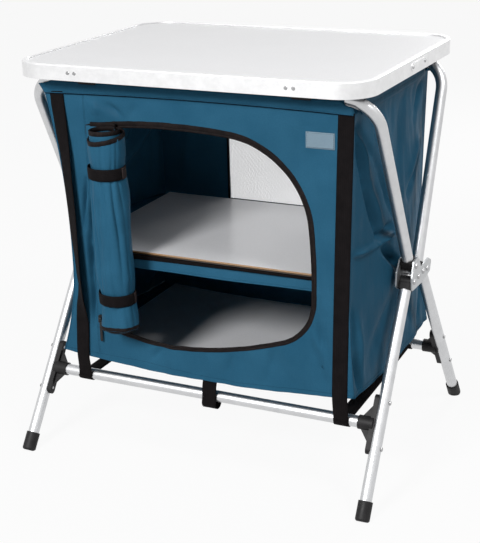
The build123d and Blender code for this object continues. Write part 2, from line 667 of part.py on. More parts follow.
def panel_face(waist):
    """Outline of the front or back panel: drawn in at the waist, with a hem that sags."""
    steps = 6
    levels = [HEM_Z_CORNER + (SEAM_Z - HEM_Z_CORNER) * i / steps for i in range(steps + 1)]
    right = [(corner_x(z, waist) - CLOTH_GAP, z) for z in levels]
    left = [(-x, z) for x, z in reversed(right)]
    with BuildSketch(Plane.XZ, mode=Mode.PRIVATE) as outline:
        with BuildLine():
            Spline(*right)
            Line(right[-1], left[0])
            Spline(*left)
            ThreePointArc(left[-1], (0, HEM_Z_MIDDLE), right[0])
        make_face()
    return outline.sketch


with BuildPart() as front_panel:
    with BuildSketch(Plane.XZ.offset(CABINET_HALF_DEPTH - CLOTH)):
        add(panel_face(CORNER_X_WAIST))
        add(door_face(0), mode=Mode.SUBTRACT)
    extrude(amount=CLOTH)
save("front_panel", front_panel.part)

with BuildPart() as door_binding:
    with BuildSketch(Plane.XZ.offset(CABINET_HALF_DEPTH)):
        add(door_face(DOOR_BINDING))
        add(door_face(0), mode=Mode.SUBTRACT)
    extrude(amount=BINDING_THICK)
save("door_binding", door_binding.part)

WINDOW_Z = (MESH_LOW_Z + MESH_HIGH_Z) / 2
WINDOW_HEIGHT = MESH_HIGH_Z - MESH_LOW_Z
with BuildPart() as back_panel:
    with BuildSketch(Plane.XZ.offset(-CABINET_HALF_DEPTH)):
        add(panel_face(CORNER_X_WAIST_BACK))
        with Locations((0, WINDOW_Z)):
            Rectangle(2 * MESH_HALF_WIDTH, WINDOW_HEIGHT, mode=Mode.SUBTRACT)
    extrude(amount=CLOTH)
save("back_panel", back_panel.part)

with BuildPart() as mesh_window:
    with BuildSketch(Plane.XZ.offset(-CABINET_HALF_DEPTH + CLOTH + CLOTH_GAP)):
        with Locations((0, WINDOW_Z)):
            Rectangle(2 * (MESH_HALF_WIDTH + MESH_MARGIN), WINDOW_HEIGHT + 2 * MESH_MARGIN)
            step_x = 2 * MESH_HALF_WIDTH / MESH_COLUMNS
            step_z = WINDOW_HEIGHT / MESH_ROWS
            with GridLocations(step_x, step_z, MESH_COLUMNS, MESH_ROWS):
                Rectangle(step_x * MESH_HOLE, step_z * MESH_HOLE, mode=Mode.SUBTRACT)
    extrude(amount=MESH_THICK)
save("mesh_window", mesh_window.part)

with BuildPart() as window_binding:
    with BuildSketch(Plane.XZ.offset(-CABINET_HALF_DEPTH + CLOTH + 2 * CLOTH_GAP + MESH_THICK)):
        with Locations((0, WINDOW_Z)):
            Rectangle(2 * (MESH_HALF_WIDTH + WINDOW_BINDING), WINDOW_HEIGHT + 2 * WINDOW_BINDING)
            Rectangle(2 * MESH_HALF_WIDTH, WINDOW_HEIGHT, mode=Mode.SUBTRACT)
    extrude(amount=BINDING_THICK)
save("window_binding", window_binding.part)


def side_section(z, depth):
    """One level of the side panel: its folded line, and the same line set in by the cloth's thickness."""
    steps = 12
    ys = [-depth + 2 * depth * i / steps for i in range(steps + 1)]
    outer = [(side_x_at(y, z), y) for y in ys]
    inner = [(x - CLOTH, y) for x, y in reversed(outer)]
    return outer + inner


SIDE_DEPTH = CABINET_HALF_DEPTH - CLOTH - CLOTH_GAP
SIDE_LEVELS = [HEM_Z_CORNER + (SIDE_SEAM_Z - HEM_Z_CORNER) * i / 10 for i in range(11)]
with BuildPart() as right_side_panel:
    for z in SIDE_LEVELS:
        with BuildSketch(Plane.XY.offset(z)):
            with BuildLine():
                Polyline(*side_section(z, SIDE_DEPTH), close=True)
            make_face()
    loft(ruled=True)
save("right_side_panel", right_side_panel.part)
save_mirrored("left_side_panel", right_side_panel.part, Plane.YZ)

BAND_HALF = TOP_BAR_Y - TUBE_R - 2 * SLEEVE_GAP - 2 * CLOTH - CLOTH_GAP
with BuildPart() as side_bands:
    with BuildSketch(Plane.XY.offset(SIDE_SEAM_Z + CLOTH_GAP)):
        with BuildLine():
            Polyline(*side_section(SIDE_SEAM_Z, BAND_HALF), close=True)
        make_face()
    extrude(amount=BAND_TOP_Z - SIDE_SEAM_Z - CLOTH_GAP)
    mirror(about=Plane.YZ)
save("side_bands", side_bands.part)


def cabinet_plan(z, half_depth):
    """The cabinet's inside outline at one level, up to its two side panels."""
    steps = 8
    right = [(side_x_at(y, z) - CLOTH - CLOTH_GAP, y)
             for y in [-half_depth + 2 * half_depth * i / steps for i in range(steps + 1)]]
    left = [(-x, y) for x, y in reversed(right)]
    with BuildSketch(mode=Mode.PRIVATE) as plan:
        with BuildLine():
            Polyline(*right, *left, close=True)
        make_face()
    return plan.sketch


def sagging_sheet(half_width, lower, thick, half_depth):
    """A sheet that hangs through in the middle: a band between two arcs about one axis along Y."""
    radius = (CORNER_X_FOOT ** 2 + FLOOR_SAG ** 2) / (2 * FLOOR_SAG)
    centre_z = FLOOR_CLOTH_Z + radius
    with BuildPart(mode=Mode.PRIVATE) as sheet:
        with BuildSketch(Plane.XZ):
            with Locations((0, centre_z)):
                Circle(radius - lower)
                Circle(radius - lower - thick, mode=Mode.SUBTRACT)
            with Locations((0, FLOOR_CLOTH_Z)):
                Rectangle(2 * half_width, FLOOR_CLOTH_Z, mode=Mode.INTERSECT)
        extrude(amount=half_depth, both=True)
    return sheet.part


FLOOR_HALF_DEPTH = CABINET_HALF_DEPTH - CLOTH - CLOTH_GAP
FLOOR_BOARD_HALF_DEPTH = CABINET_HALF_DEPTH - FLOOR_BOARD_SHY
with BuildPart() as floor_panel:
    with BuildSketch():
        add(cabinet_plan(HEM_Z_CORNER, FLOOR_HALF_DEPTH))
    extrude(amount=WAIST_Z)
    add(sagging_sheet(SIDE_X_HUB, 0, CLOTH, CABINET_HALF_DEPTH), mode=Mode.INTERSECT)
save("floor_panel", floor_panel.part)

floor_board = sagging_sheet(INNER_HALF_WIDTH - BOARD_PLAY, CLOTH + CLOTH_GAP, FLOOR_THICK, FLOOR_BOARD_HALF_DEPTH)
save("floor_board", floor_board)

SLING_Z = SHELF_TOP_Z - SHELF_THICK - CLOTH_GAP - CLOTH
SLING_HALF_DEPTH = FLOOR_HALF_DEPTH - SLING_SET_BACK
with BuildPart() as shelf_sling:
    with BuildSketch(Plane.XY.offset(SLING_Z)):
        add(cabinet_plan(SLING_Z, SLING_HALF_DEPTH))
    extrude(amount=CLOTH)
    with BuildSketch(Plane.XZ.offset(SLING_HALF_DEPTH - CLOTH)):
        with Locations((0, SLING_Z + CLOTH)):
            Rectangle(2 * INNER_HALF_WIDTH, SHELF_BAND, align=(Align.CENTER, Align.MAX))
    extrude(amount=CLOTH)
save("shelf_sling", shelf_sling.part)

with BuildPart() as shelf_board:
    with BuildSketch(Plane.XY.offset(SHELF_TOP_Z - SHELF_THICK)):
        Rectangle(2 * (INNER_HALF_WIDTH - BOARD_PLAY), 2 * (SLING_HALF_DEPTH - BOARD_PLAY))
    extrude(amount=SHELF_THICK)
save("shelf_board", shelf_board.part)


def sleeve(side_y):
    """Cloth round the top bar, open where the clips grip it, with a flap out to the corners and down to the seam."""
    inner = TUBE_R + SLEEVE_GAP
    clip_half = CLIP_WIDTH / 2 + CLOTH_GAP
    flap_side = Align.MIN if side_y > 0 else Align.MAX
    stretches = ((-SLEEVE_HALF_LENGTH, -CLIP_X - clip_half), (-CLIP_X + clip_half, CLIP_X - clip_half),
                 (CLIP_X + clip_half, SLEEVE_HALF_LENGTH))
    with BuildPart(mode=Mode.PRIVATE) as cloth:
        for low, high in stretches:
            with BuildSketch(Plane.YZ.offset(low)):
                with Locations((side_y * TOP_BAR_Y, TOP_BAR_Z)):
                    Circle(inner + CLOTH)
                with Locations((side_y * (TOP_BAR_Y + inner), SEAM_Z + CLOTH_GAP)):
                    Rectangle(CLOTH, TOP_BAR_Z - SEAM_Z - CLOTH_GAP, align=(flap_side, Align.MIN))
                with Locations((side_y * TOP_BAR_Y, TOP_BAR_Z)):
                    Circle(inner, mode=Mode.SUBTRACT)
            extrude(amount=high - low)
        with BuildSketch(Plane.YZ.offset(CLOTH_GAP - CORNER_X_TOP)):
            with Locations((side_y * (TOP_BAR_Y + inner), SEAM_Z + CLOTH_GAP)):
                Rectangle(CLOTH, CLIP_LOW_Z - SEAM_Z - 2 * CLOTH_GAP, align=(flap_side, Align.MIN))
        extrude(amount=2 * (CORNER_X_TOP - CLOTH_GAP))
    return cloth.part


save("front_sleeve", sleeve(-1))
save("back_sleeve", sleeve(1))


# The rolled-up door: a sheet that leaves the panel at the straight edge and winds about a leaning axis
def roll_face():
    """Section of the roll: the sheet's two sides as half circles whose radius drops by half a pitch each time."""
    ends = []
    with BuildSketch(mode=Mode.PRIVATE) as section:
        with BuildLine():
            for start in (ROLL_R, ROLL_R - ROLL_SHEET):
                x = start
                radius = start
                side = -1
                for half_turn in range(2 * ROLL_TURNS):
                    end = x + 2 * side * radius
                    ThreePointArc((x, 0), ((x + end) / 2, side * radius), (end, 0))
                    x = end
                    radius -= ROLL_PITCH / 2
                    side = -side
                ends.append(((start, 0), (x, 0)))
            Line(ends[0][0], ends[1][0])
            Line(ends[0][1], ends[1][1])
        make_face()
    return section.sketch


roll_axis = Vector(ROLL_TOP[0] - ROLL_BOTTOM[0], 0, ROLL_TOP[1] - ROLL_BOTTOM[1])
ROLL_BACK_Y = FRONT_Y - BINDING_THICK - CLOTH_GAP
ROLL_Y = ROLL_BACK_Y - ROLL_R
roll_plane = Plane(origin=(ROLL_BOTTOM[0], ROLL_Y, ROLL_BOTTOM[1]), x_dir=(0, 1, 0), z_dir=roll_axis)
with BuildPart() as rolled_door:
    with BuildSketch(roll_plane):
        add(roll_face())
    extrude(amount=roll_axis.length)
    with BuildSketch(Plane.XZ.offset(-ROLL_BACK_Y)):
        with BuildLine():
            Polyline((DOOR_LEFT, DOOR_FOOT_LEFT[1] + FLAP_FOOT), (DOOR_LEFT, DOOR_TOP_LEFT[1]), ROLL_TOP, ROLL_BOTTOM,
                     close=True)
        make_face()
    extrude(amount=CLOTH)
save("rolled_door", rolled_door.part)

with BuildPart() as door_ties:
    for z in TIE_Z:
        share = (z - ROLL_BOTTOM[1]) / (ROLL_TOP[1] - ROLL_BOTTOM[1])
        with BuildSketch(roll_plane.offset(share * roll_axis.length - TIE_WIDTH / 2)):
            Circle(ROLL_R + CLOTH_GAP + TIE_THICK)
            Circle(ROLL_R + CLOTH_GAP, mode=Mode.SUBTRACT)
            with Locations((ROLL_R - CLOTH - CLOTH_GAP, -CLOTH_GAP)):
                Rectangle(ROLL_R, ROLL_R, align=Align.MIN, mode=Mode.SUBTRACT)
        extrude(amount=TIE_WIDTH)
save("door_ties", door_ties.part)

# Zip slider and pull at the foot of the door's straight edge
SLIDER_FACE_Y = FRONT_Y - BINDING_THICK - CLOTH_GAP - SLIDER_THICK
with BuildPart() as zip_slider:
    with BuildSketch(Plane.XZ.offset(-SLIDER_FACE_Y - SLIDER_THICK)):
        with Locations((SLIDER_X, SLIDER_Z)):
            RectangleRounded(SLIDER_WIDTH, SLIDER_LENGTH, SLIDER_ROUND)
    extrude(amount=SLIDER_THICK)
    with BuildSketch(Plane.YZ.offset(SLIDER_X - SLIDER_EYE_WIDTH / 2)):
        with Locations((SLIDER_FACE_Y, SLIDER_Z)):
            Circle(SLIDER_EYE_R + SLIDER_EYE_WALL)
            Circle(SLIDER_EYE_R, mode=Mode.SUBTRACT)
            Rectangle(SLIDER_LENGTH, SLIDER_LENGTH, align=(Align.MIN, Align.CENTER), mode=Mode.SUBTRACT)
    extrude(amount=SLIDER_EYE_WIDTH)
save("zip_slider", zip_slider.part)

PULL_Y = SLIDER_FACE_Y - PULL_THICK / 2 - TUBE_FIT
with BuildPart() as zip_pull:
    with BuildSketch(Plane.XZ.offset(-PULL_Y)):
        with Locations((SLIDER_X, SLIDER_Z)):
            Rectangle(PULL_LOOP_WIDTH, PULL_LOOP + PULL_BAR, align=(Align.CENTER, Align.MAX))
            Rectangle(SLIDER_EYE_WIDTH + 2 * SLIDER_PLAY, PULL_LOOP, align=(Align.CENTER, Align.MAX),
                      mode=Mode.SUBTRACT)
        with Locations((SLIDER_X, SLIDER_Z - PULL_LOOP - PULL_LENGTH / 2)):
            SlotOverall(PULL_LENGTH, PULL_WIDTH, rotation=90)
    extrude(amount=PULL_THICK / 2, both=True)
    with Locations((SLIDER_X, PULL_Y, SLIDER_Z)):
        Cylinder(PULL_THICK / 2, PULL_LOOP_WIDTH, rotation=(0, 90, 0))
save("zip_pull", zip_pull.part)

with BuildPart() as bare_patch:
    with BuildSketch(Plane.XZ.offset(CABINET_HALF_DEPTH)):
        with Locations((PATCH_X, PATCH_Z)):
            RectangleRounded(PATCH_WIDTH, PATCH_HEIGHT, PATCH_ROUND)
    extrude(amount=PATCH_THICK)
save("bare_patch", bare_patch.part)


# Webbing
def upright_strap(side_x, side_y, pivot):
    """A flat run from the seam down to the crossbar, leaning in a little towards the foot."""
    top_y = side_y * (CABINET_HALF_DEPTH + CLOTH_GAP + STRAP_THICK / 2)
    foot_y = side_y * (crossbar_y(pivot) + TUBE_R + LOOP_GAP + STRAP_THICK / 2)
    top_x, foot_x = STRAPS[side_x]
    with BuildPart(mode=Mode.PRIVATE) as strap:
        for x, y, z in ((foot_x, foot_y, CROSSBAR_Z + CLOTH_GAP), (foot_x, top_y, HEM_Z_MIDDLE),
                        (top_x, top_y, SEAM_Z)):
            with BuildSketch(Plane.XY.offset(z)):
                with Locations((x, y)):
                    Rectangle(STRAP_WIDTH, STRAP_THICK)
        loft(ruled=True)
    return strap.part


def strap_loop(x, pivot, side_y, slack, tail):
    """Webbing under the crossbar, hanging a little slack, from its outer side to its inner side, with a tail."""
    inner = TUBE_R + LOOP_GAP
    bar_y = side_y * crossbar_y(pivot)
    low_z = CROSSBAR_Z - slack
    with BuildPart(mode=Mode.PRIVATE) as loop:
        with BuildSketch(Plane.YZ.offset(x - STRAP_WIDTH / 2)):
            with Locations((bar_y, low_z)):
                Circle(inner + STRAP_THICK)
                Circle(inner, mode=Mode.SUBTRACT)
                Rectangle(3 * TUBE_D, 3 * TUBE_D, align=(Align.CENTER, Align.MIN), mode=Mode.SUBTRACT)
            if slack:
                with Locations((bar_y - inner, low_z)):
                    Rectangle(STRAP_THICK, slack, align=(Align.MAX, Align.MIN))
                with Locations((bar_y + inner, low_z)):
                    Rectangle(STRAP_THICK, slack, align=(Align.MIN, Align.MIN))
            if tail:
                with Locations((bar_y + side_y * inner, CROSSBAR_Z)):
                    Rectangle(STRAP_THICK, tail, align=(Align.MIN if side_y > 0 else Align.MAX, Align.MIN))
        extrude(amount=STRAP_WIDTH)
    return loop.part


for name, pivot, side_y in (("front", FRONT_LEG_PIVOT, -1), ("back", BACK_LEG_PIVOT, 1)):
    with BuildPart() as straps:
        for side_x in (-1, 1):
            add(upright_strap(side_x, side_y, pivot))
    save(f"{name}_straps", straps.part)
    with BuildPart() as loops:
        for side_x in (-1, 1):
            add(strap_loop(STRAPS[side_x][1], pivot, side_y, 0, 0))
    save(f"{name}_strap_loops", loops.part)

with BuildPart() as under_straps:
    front_end = -crossbar_y(FRONT_LEG_PIVOT) + TUBE_R + LOOP_GAP
    back_end = crossbar_y(BACK_LEG_PIVOT) - TUBE_R - LOOP_GAP
    for side_x in (-1, 1):
        with BuildSketch(Plane.YZ.offset(STRAPS[side_x][1] - STRAP_WIDTH / 2)):
            with Locations((front_end, CROSSBAR_Z + CLOTH_GAP)):
                Rectangle(back_end - front_end, STRAP_THICK, align=(Align.MIN, Align.MIN))
        extrude(amount=STRAP_WIDTH)
save("under_straps", under_straps.part)

with BuildPart() as centre_strap:
    centre_tail = HEM_Z_MIDDLE - CROSSBAR_Z - CENTRE_STRAP_SHY
    add(strap_loop(CENTRE_STRAP_X, FRONT_LEG_PIVOT, -1, CENTRE_SLACK, centre_tail))
save("centre_strap", centre_strap.part)
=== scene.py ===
"""Looks for the folding camping cupboard: cloth, webbing, metal and light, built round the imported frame."""

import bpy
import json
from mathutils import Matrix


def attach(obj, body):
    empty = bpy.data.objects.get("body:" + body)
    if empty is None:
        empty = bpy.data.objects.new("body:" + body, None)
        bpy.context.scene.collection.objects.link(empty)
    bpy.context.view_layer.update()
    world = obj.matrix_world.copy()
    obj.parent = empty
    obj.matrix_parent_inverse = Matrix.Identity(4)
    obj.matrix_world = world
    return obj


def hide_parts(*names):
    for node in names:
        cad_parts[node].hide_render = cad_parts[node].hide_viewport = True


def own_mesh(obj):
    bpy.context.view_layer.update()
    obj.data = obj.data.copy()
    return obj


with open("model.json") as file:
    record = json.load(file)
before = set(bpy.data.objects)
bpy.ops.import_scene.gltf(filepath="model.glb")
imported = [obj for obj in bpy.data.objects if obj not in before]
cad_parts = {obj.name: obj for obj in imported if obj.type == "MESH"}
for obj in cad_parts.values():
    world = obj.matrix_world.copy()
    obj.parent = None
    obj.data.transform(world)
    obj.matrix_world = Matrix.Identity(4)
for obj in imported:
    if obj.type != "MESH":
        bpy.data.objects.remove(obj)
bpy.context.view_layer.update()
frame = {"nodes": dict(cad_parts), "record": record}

import json
from math import acos, atan2, cos, degrees, exp, hypot, pi, radians, sin, sqrt, tan, tau

import bpy
import numpy as np
from mathutils import Matrix, Vector, noise

MM = 0.001

FACINGS = ((-1, "front"), (1, "back"))
SIDES = ((1, "right"), (-1, "left"))

# Sizes of the cloth cabinet, in millimetres: most are the part's own, some follow the photograph more closely
HALF_DEPTH = 183.0
FRONT_Y = -HALF_DEPTH
WAIST_Z = 335.0
SEAM_Z, SIDE_SEAM_Z = 628.0, 624.0
HEM_CORNER, HEM_MIDDLE = 171.0, 157.0
CORNER_TOP, CORNER_FOOT = 266.0, 268.0
SIDE_TOP, SIDE_HUB, SIDE_FOOT = 269.0, 284.5, 281.0
BAR_Y, BAR_Z = 173.0, 642.7
TUBE_R = 9.5
CROSSBAR_Z = 125.4
CROSSBAR_Y = {-1: 167.53, 1: 169.1}
BOARD_Z, BOARD_HALF = 359.0, 237.0
CLOTH, SLEEVE_CLOTH, ROLL_CLOTH, PATCH_CLOTH = 0.8, 0.7, 0.9, 0.6
STRAP_W, WEB = 25.5, 1.3

# The door's opening: three points make each arc, and the first arc begins at the upper left
DOOR_LEFT, DOOR_EDGE = -192.0, -186.0
DOOR_START = (DOOR_EDGE, 567.0)
DOOR_ARCS = [((-60, 578), (60, 573)), ((148, 535), (195, 440)), ((199, 385), (199, 325)),
             ((187, 281), (150, 250)), ((50, 222), (-50, 209.5)), ((-115, 215), (DOOR_EDGE, 234))]
DOOR_MIDDLE = (5.0, 392.0)

# The rolled-up door's axis, by its two ends as seen from the front
ROLL_TOP, ROLL_FOOT = (-139.0, 577.0), (-129.0, 241.0)
ROLL_R = 33.0
ROLL_BACK_Y = FRONT_Y - 1.6
TIE_Z = (510.0, 300.0)

WINDOW_HALF, WINDOW_LOW, WINDOW_HIGH = 115.0, 359.5, 590.0
WINDOW_MIDDLE = (0.0, 477.0)
PATCH_X, PATCH_Z = 213.0, 580.0
PATCH_WIDE, PATCH_HIGH = 46.0, 25.0

# Where each strap's middle lies at the seam and at the hem
STRAPS = {(1, -1): (254.3, 244.3), (-1, -1): (-241.0, -230.5),
          (1, 1): (246.0, 238.0), (-1, 1): (-243.0, -233.0)}
# The left front strap hangs twisted: level, middle, and the width that shows from the front
LEFT_RUN = [(125, -229, 25.5), (163, -227.5, 24), (186, -226, 24.4), (230, -223.5, 24), (255, -223.5, 19),
            (275, -223, 12), (296, -222.4, 8), (318, -224.5, 9.5), (339, -225, 10), (381, -227.5, 13.8),
            (423, -229, 15.7), (484, -232.5, 17.5), (524, -234.5, 19.4), (564, -238.5, 23), (604, -242, 25),
            (628, -243, 25.5)]
LEFT_RUN_Z, LEFT_RUN_X, LEFT_RUN_SEEN = zip(*LEFT_RUN)


# Materials
def link(tree, source, socket):
    """Gives a socket another node's output, or a number, a vector or a colour."""
    if isinstance(source, bpy.types.NodeSocket):
        tree.links.new(source, socket)
    else:
        socket.default_value = (*source, 1) if socket.type == "RGBA" else source


def node(tree, kind, values=None, **settings):
    made = tree.nodes.new(kind)
    for key, value in settings.items():
        setattr(made, key, value)
    for key, value in (values or {}).items():
        link(tree, value, made.inputs[key])
    return made


def new_material(name, space=None):
    """A material, its tree and shader, and the coordinates that its textures use."""
    material = bpy.data.materials.new(name)
    material.use_nodes = True
    tree = material.node_tree
    coordinates = node(tree, "ShaderNodeTexCoord").outputs[space] if space else None
    return material, tree, tree.nodes["Principled BSDF"], coordinates


def math_node(tree, operation, first, second=None):
    values = {0: first} if second is None else {0: first, 1: second}
    return node(tree, "ShaderNodeMath", values, operation=operation).outputs[0]


def mix_colour(tree, factor, first, second):
    return node(tree, "ShaderNodeMix", {"Factor": factor, 6: first, 7: second}, data_type="RGBA").outputs[2]


def ramp(tree, source, low, high, first=0.0, last=1.0):
    """A value's range from low to high, spread over first to last."""
    values = {"Value": source, "From Min": low, "From Max": high, "To Min": first, "To Max": last}
    return node(tree, "ShaderNodeMapRange", values).outputs["Result"]


def noise_of(tree, vector, scale, detail=3.0, rough=0.55):
    values = {"Vector": vector, "Scale": scale, "Detail": detail, "Roughness": rough}
    return node(tree, "ShaderNodeTexNoise", values).outputs["Fac"]


def stretched_noise(tree, vector, scales, rough):
    """Noise with a scale of its own along each axis."""
    place = node(tree, "ShaderNodeMapping", {"Vector": vector, "Scale": scales}).outputs["Vector"]
    return noise_of(tree, place, 1.0, 3.0, rough)


def wave_of(tree, vector, direction, per_metre):
    """Bands across one direction; the wave texture's scale of 1 holds 20 / (2 pi) bands a metre."""
    values = {"Vector": vector, "Scale": per_metre * tau / 20, "Distortion": 0.0, "Detail": 1.0}
    return node(tree, "ShaderNodeTexWave", values, bands_direction=direction).outputs["Fac"]


def bump_chain(tree, bsdf, *layers):
    """Bump nodes one after another, each from its height, distance and strength."""
    last = None
    for height, distance, strength in layers:
        made = node(tree, "ShaderNodeBump", {"Height": height, "Distance": distance, "Strength": strength})
        if last is not None:
            link(tree, last, made.inputs["Normal"])
        last = made.outputs["Normal"]
    link(tree, last, bsdf.inputs["Normal"])


def surface(tree, bsdf, colour, rough, specular=None):
    link(tree, colour, bsdf.inputs["Base Color"])
    link(tree, rough, bsdf.inputs["Roughness"])
    if specular is not None:
        bsdf.inputs["Specular IOR Level"].default_value = specular


def mix_shader(tree, factor, first, second, output):
    mixed = node(tree, "ShaderNodeMixShader", {0: factor, 1: first.outputs[0], 2: second.outputs[0]})
    link(tree, mixed.outputs[0], tree.nodes[output].inputs["Surface"])


def dimmed(colour, share):
    return tuple(share * c for c in colour)


def srgb(*colour):
    """A colour read as 0 to 255 in sRGB, as the linear values that the shader takes."""
    shares = [c / 255 for c in colour]
    return tuple(c / 12.92 if c <= 0.04045 else ((c + 0.055) / 1.055) ** 2.4 for c in shares)


def cloth_material(name, light, dark, weave=1600.0, streaks=1.0, lets_through=0.0):
    """Plain woven polyester: threads that cross, a faint mottle, and soft creases that run with the drop."""
    material, tree, bsdf, uv = new_material(name, "UV")
    threads = math_node(tree, "MAXIMUM", wave_of(tree, uv, "X", weave / 2), wave_of(tree, uv, "Y", weave / 2))
    mottle = noise_of(tree, uv, 14.0, 4.0)
    slub = math_node(tree, "MULTIPLY", noise_of(tree, uv, 420.0, 2.0), 0.5)
    shade = math_node(tree, "ADD", math_node(tree, "MULTIPLY", threads, 0.5), slub)
    base = mix_colour(tree, ramp(tree, mottle, 0.3, 0.7), dark, light)
    base = mix_colour(tree, ramp(tree, shade, 0.0, 0.9), dimmed(dark, 0.72), base)
    surface(tree, bsdf, base, ramp(tree, mottle, 0.3, 0.7, 0.4, 0.56), specular=0.03)
    crumple = noise_of(tree, uv, 38.0, 5.0, 0.6)
    folds = stretched_noise(tree, uv, (34.0, 7.0, 1.0), 0.5)
    bump_chain(tree, bsdf, (threads, 0.00012, 0.5), (crumple, 0.0018, 0.35), (folds, 0.005, 0.4 * streaks))
    if lets_through:
        glow = node(tree, "ShaderNodeBsdfTranslucent", {"Color": base})
        mix_shader(tree, lets_through, bsdf, glow, "Material Output")
    return material


def webbing_material(name, colour, worn):
    """Flat webbing: ribs across the strap, cords along it, and a paler tone where it is worn."""
    material, tree, bsdf, uv = new_material(name, "UV")
    cords = math_node(tree, "MULTIPLY", wave_of(tree, uv, "X", 330.0), 0.6)
    height = math_node(tree, "ADD", wave_of(tree, uv, "Y", 620.0), cords)
    wear = noise_of(tree, uv, 60.0, 4.0)
    tone = math_node(tree, "MULTIPLY", ramp(tree, height, 0.2, 1.5), ramp(tree, wear, 0.25, 0.75))
    surface(tree, bsdf, mix_colour(tree, tone, colour, worn), 0.8, specular=0.06)
    bump_chain(tree, bsdf, (height, 0.0003, 0.6), (wear, 0.0006, 0.2))
    return material


def zip_material(name, colour, worn):
    """Zip tape with its coil: fine cross ribs and a brownish tone where the coil is worn."""
    material, tree, bsdf, uv = new_material(name, "UV")
    coil = wave_of(tree, uv, "X", 480.0)
    wear = noise_of(tree, uv, 90.0, 3.0)
    tone = math_node(tree, "MULTIPLY", coil, ramp(tree, wear, 0.3, 0.75))
    surface(tree, bsdf, mix_colour(tree, tone, colour, worn), 0.7, specular=0.1)
    bump_chain(tree, bsdf, (coil, 0.0004, 0.7))
    return material


def metal_material(name, colour, rough, grain_scale, dents=0.15):
    """Satin metal: a fine drawn grain, faint scuffs, and a little variation in its polish."""
    material, tree, bsdf, place = new_material(name, "Object")
    grain = noise_of(tree, place, grain_scale, 6.0, 0.7)
    scuff = noise_of(tree, place, 55.0, 5.0, 0.65)
    base = mix_colour(tree, ramp(tree, scuff, 0.35, 0.7), dimmed(colour, 0.9), colour)
    surface(tree, bsdf, base, ramp(tree, grain, 0.3, 0.7, rough, rough + 0.12))
    bsdf.inputs["Metallic"].default_value = 1.0
    bump_chain(tree, bsdf, (grain, 0.00004, 0.3), (scuff, 0.0003, dents))
    return material


def plastic_material(name, colour, light, rough=0.48):
    """Moulded plastic: a fine spark grain, slightly paler where it has been handled."""
    material, tree, bsdf, place = new_material(name, "Object")
    grain = noise_of(tree, place, 1400.0, 2.0, 0.6)
    handled = noise_of(tree, place, 70.0, 4.0, 0.6)
    base = mix_colour(tree, ramp(tree, handled, 0.4, 0.8), colour, light)
    surface(tree, bsdf, base, ramp(tree, handled, 0.3, 0.7, rough, rough + 0.15), specular=0.25)
    bump_chain(tree, bsdf, (grain, 0.0001, 0.5))
    return material


def laminate_material(name, colour, speck, edge=None, rough=0.34):
    """Laminate with a fine pearl speckle; on a board, its cut edges show the bare fibre, but the shelf
    board's edge is mostly painted shade.
    """
    material, tree, bsdf, place = new_material(name, "Object")
    fine = noise_of(tree, place, 900.0, 2.0, 0.7)
    cloud = noise_of(tree, place, 9.0, 4.0)
    face = mix_colour(tree, ramp(tree, fine, 0.35, 0.65), speck, colour)
    face = mix_colour(tree, math_node(tree, "MULTIPLY", ramp(tree, cloud, 0.2, 0.8), 0.15), face, speck)
    if edge is not None:
        normal = node(tree, "ShaderNodeNewGeometry").outputs["True Normal"]
        level = math_node(tree, "ABSOLUTE", node(tree, "ShaderNodeSeparateXYZ", {0: normal}).outputs["Z"])
        chips = stretched_noise(tree, place, (300.0, 300.0, 1500.0), 0.7)
        fibre_and_shade = mix_colour(tree, ramp(tree, chips, 0.3, 0.7), dimmed(edge, 0.6), edge)
        # The shelf board's edge is painted nearly black below a thin line at its top, as painted shade of the
        # gap under the board; the floor board's, below 0.3 m, isn't
        height = node(tree, "ShaderNodeSeparateXYZ", {0: place}).outputs["Z"]
        painted_shade_below_line = ramp(tree, height, 0.3607, 0.3602)
        off_floor = ramp(tree, height, 0.3, 0.301)
        # Painted shade: below the line the shelf board's edge takes an eighth of the fibre's colour
        fibre_and_shade = mix_colour(tree, math_node(tree, "MULTIPLY", painted_shade_below_line, off_floor), fibre_and_shade, dimmed(edge, 0.12))
        face = mix_colour(tree, ramp(tree, level, 0.4, 0.6), fibre_and_shade, face)
    surface(tree, bsdf, face, ramp(tree, cloud, 0.3, 0.7, rough, rough + 0.05))
    bump_chain(tree, bsdf, (fine, 0.00005, 0.3))
    return material


BLUE = cloth_material("blue_cloth", srgb(45, 94, 121), srgb(36, 83, 109))
MESH = cloth_material("white_mesh", srgb(250, 250, 251), srgb(240, 241, 243), 1200.0, 0.0, 0.5)
# Near-black navy for the seam lines: painted shade in the seam grooves and under the sleeve flaps
SEAM_SHADE = cloth_material("seam", srgb(8, 25, 40), srgb(5, 16, 28), 2400.0)
THREAD = cloth_material("thread", srgb(22, 60, 84), srgb(16, 46, 68), 3000.0)
WEBBING = webbing_material("webbing", srgb(13, 11, 12), srgb(30, 26, 27))
LOOP = webbing_material("loop_tape", srgb(40, 34, 34), srgb(66, 57, 56))
TAPE = zip_material("zip_tape", srgb(12, 9, 10), srgb(42, 34, 33))
PATCH = cloth_material("patch", srgb(134, 154, 167), srgb(120, 141, 155), 2200.0)
TUBE = metal_material("tube_aluminium", (0.62, 0.625, 0.635), 0.3, 500.0)
EDGE = metal_material("edge_aluminium", (0.84, 0.84, 0.845), 0.34, 700.0, 0.05)
STEEL = metal_material("hub_steel", (0.50, 0.51, 0.52), 0.34, 400.0, 0.5)
RIVET = metal_material("rivet_steel", (0.38, 0.38, 0.385), 0.3, 900.0, 0.3)
PLASTIC = plastic_material("black_plastic", srgb(16, 15, 16), srgb(36, 35, 36))
ENAMEL = plastic_material("zip_enamel", srgb(12, 12, 13), srgb(40, 39, 40), 0.3)
TOP = laminate_material("table_laminate", srgb(221, 221, 222), srgb(208, 208, 210))
BOARD = laminate_material("board_laminate", srgb(224, 224, 226), srgb(212, 212, 214),
                          edge=srgb(176, 140, 104), rough=0.2)

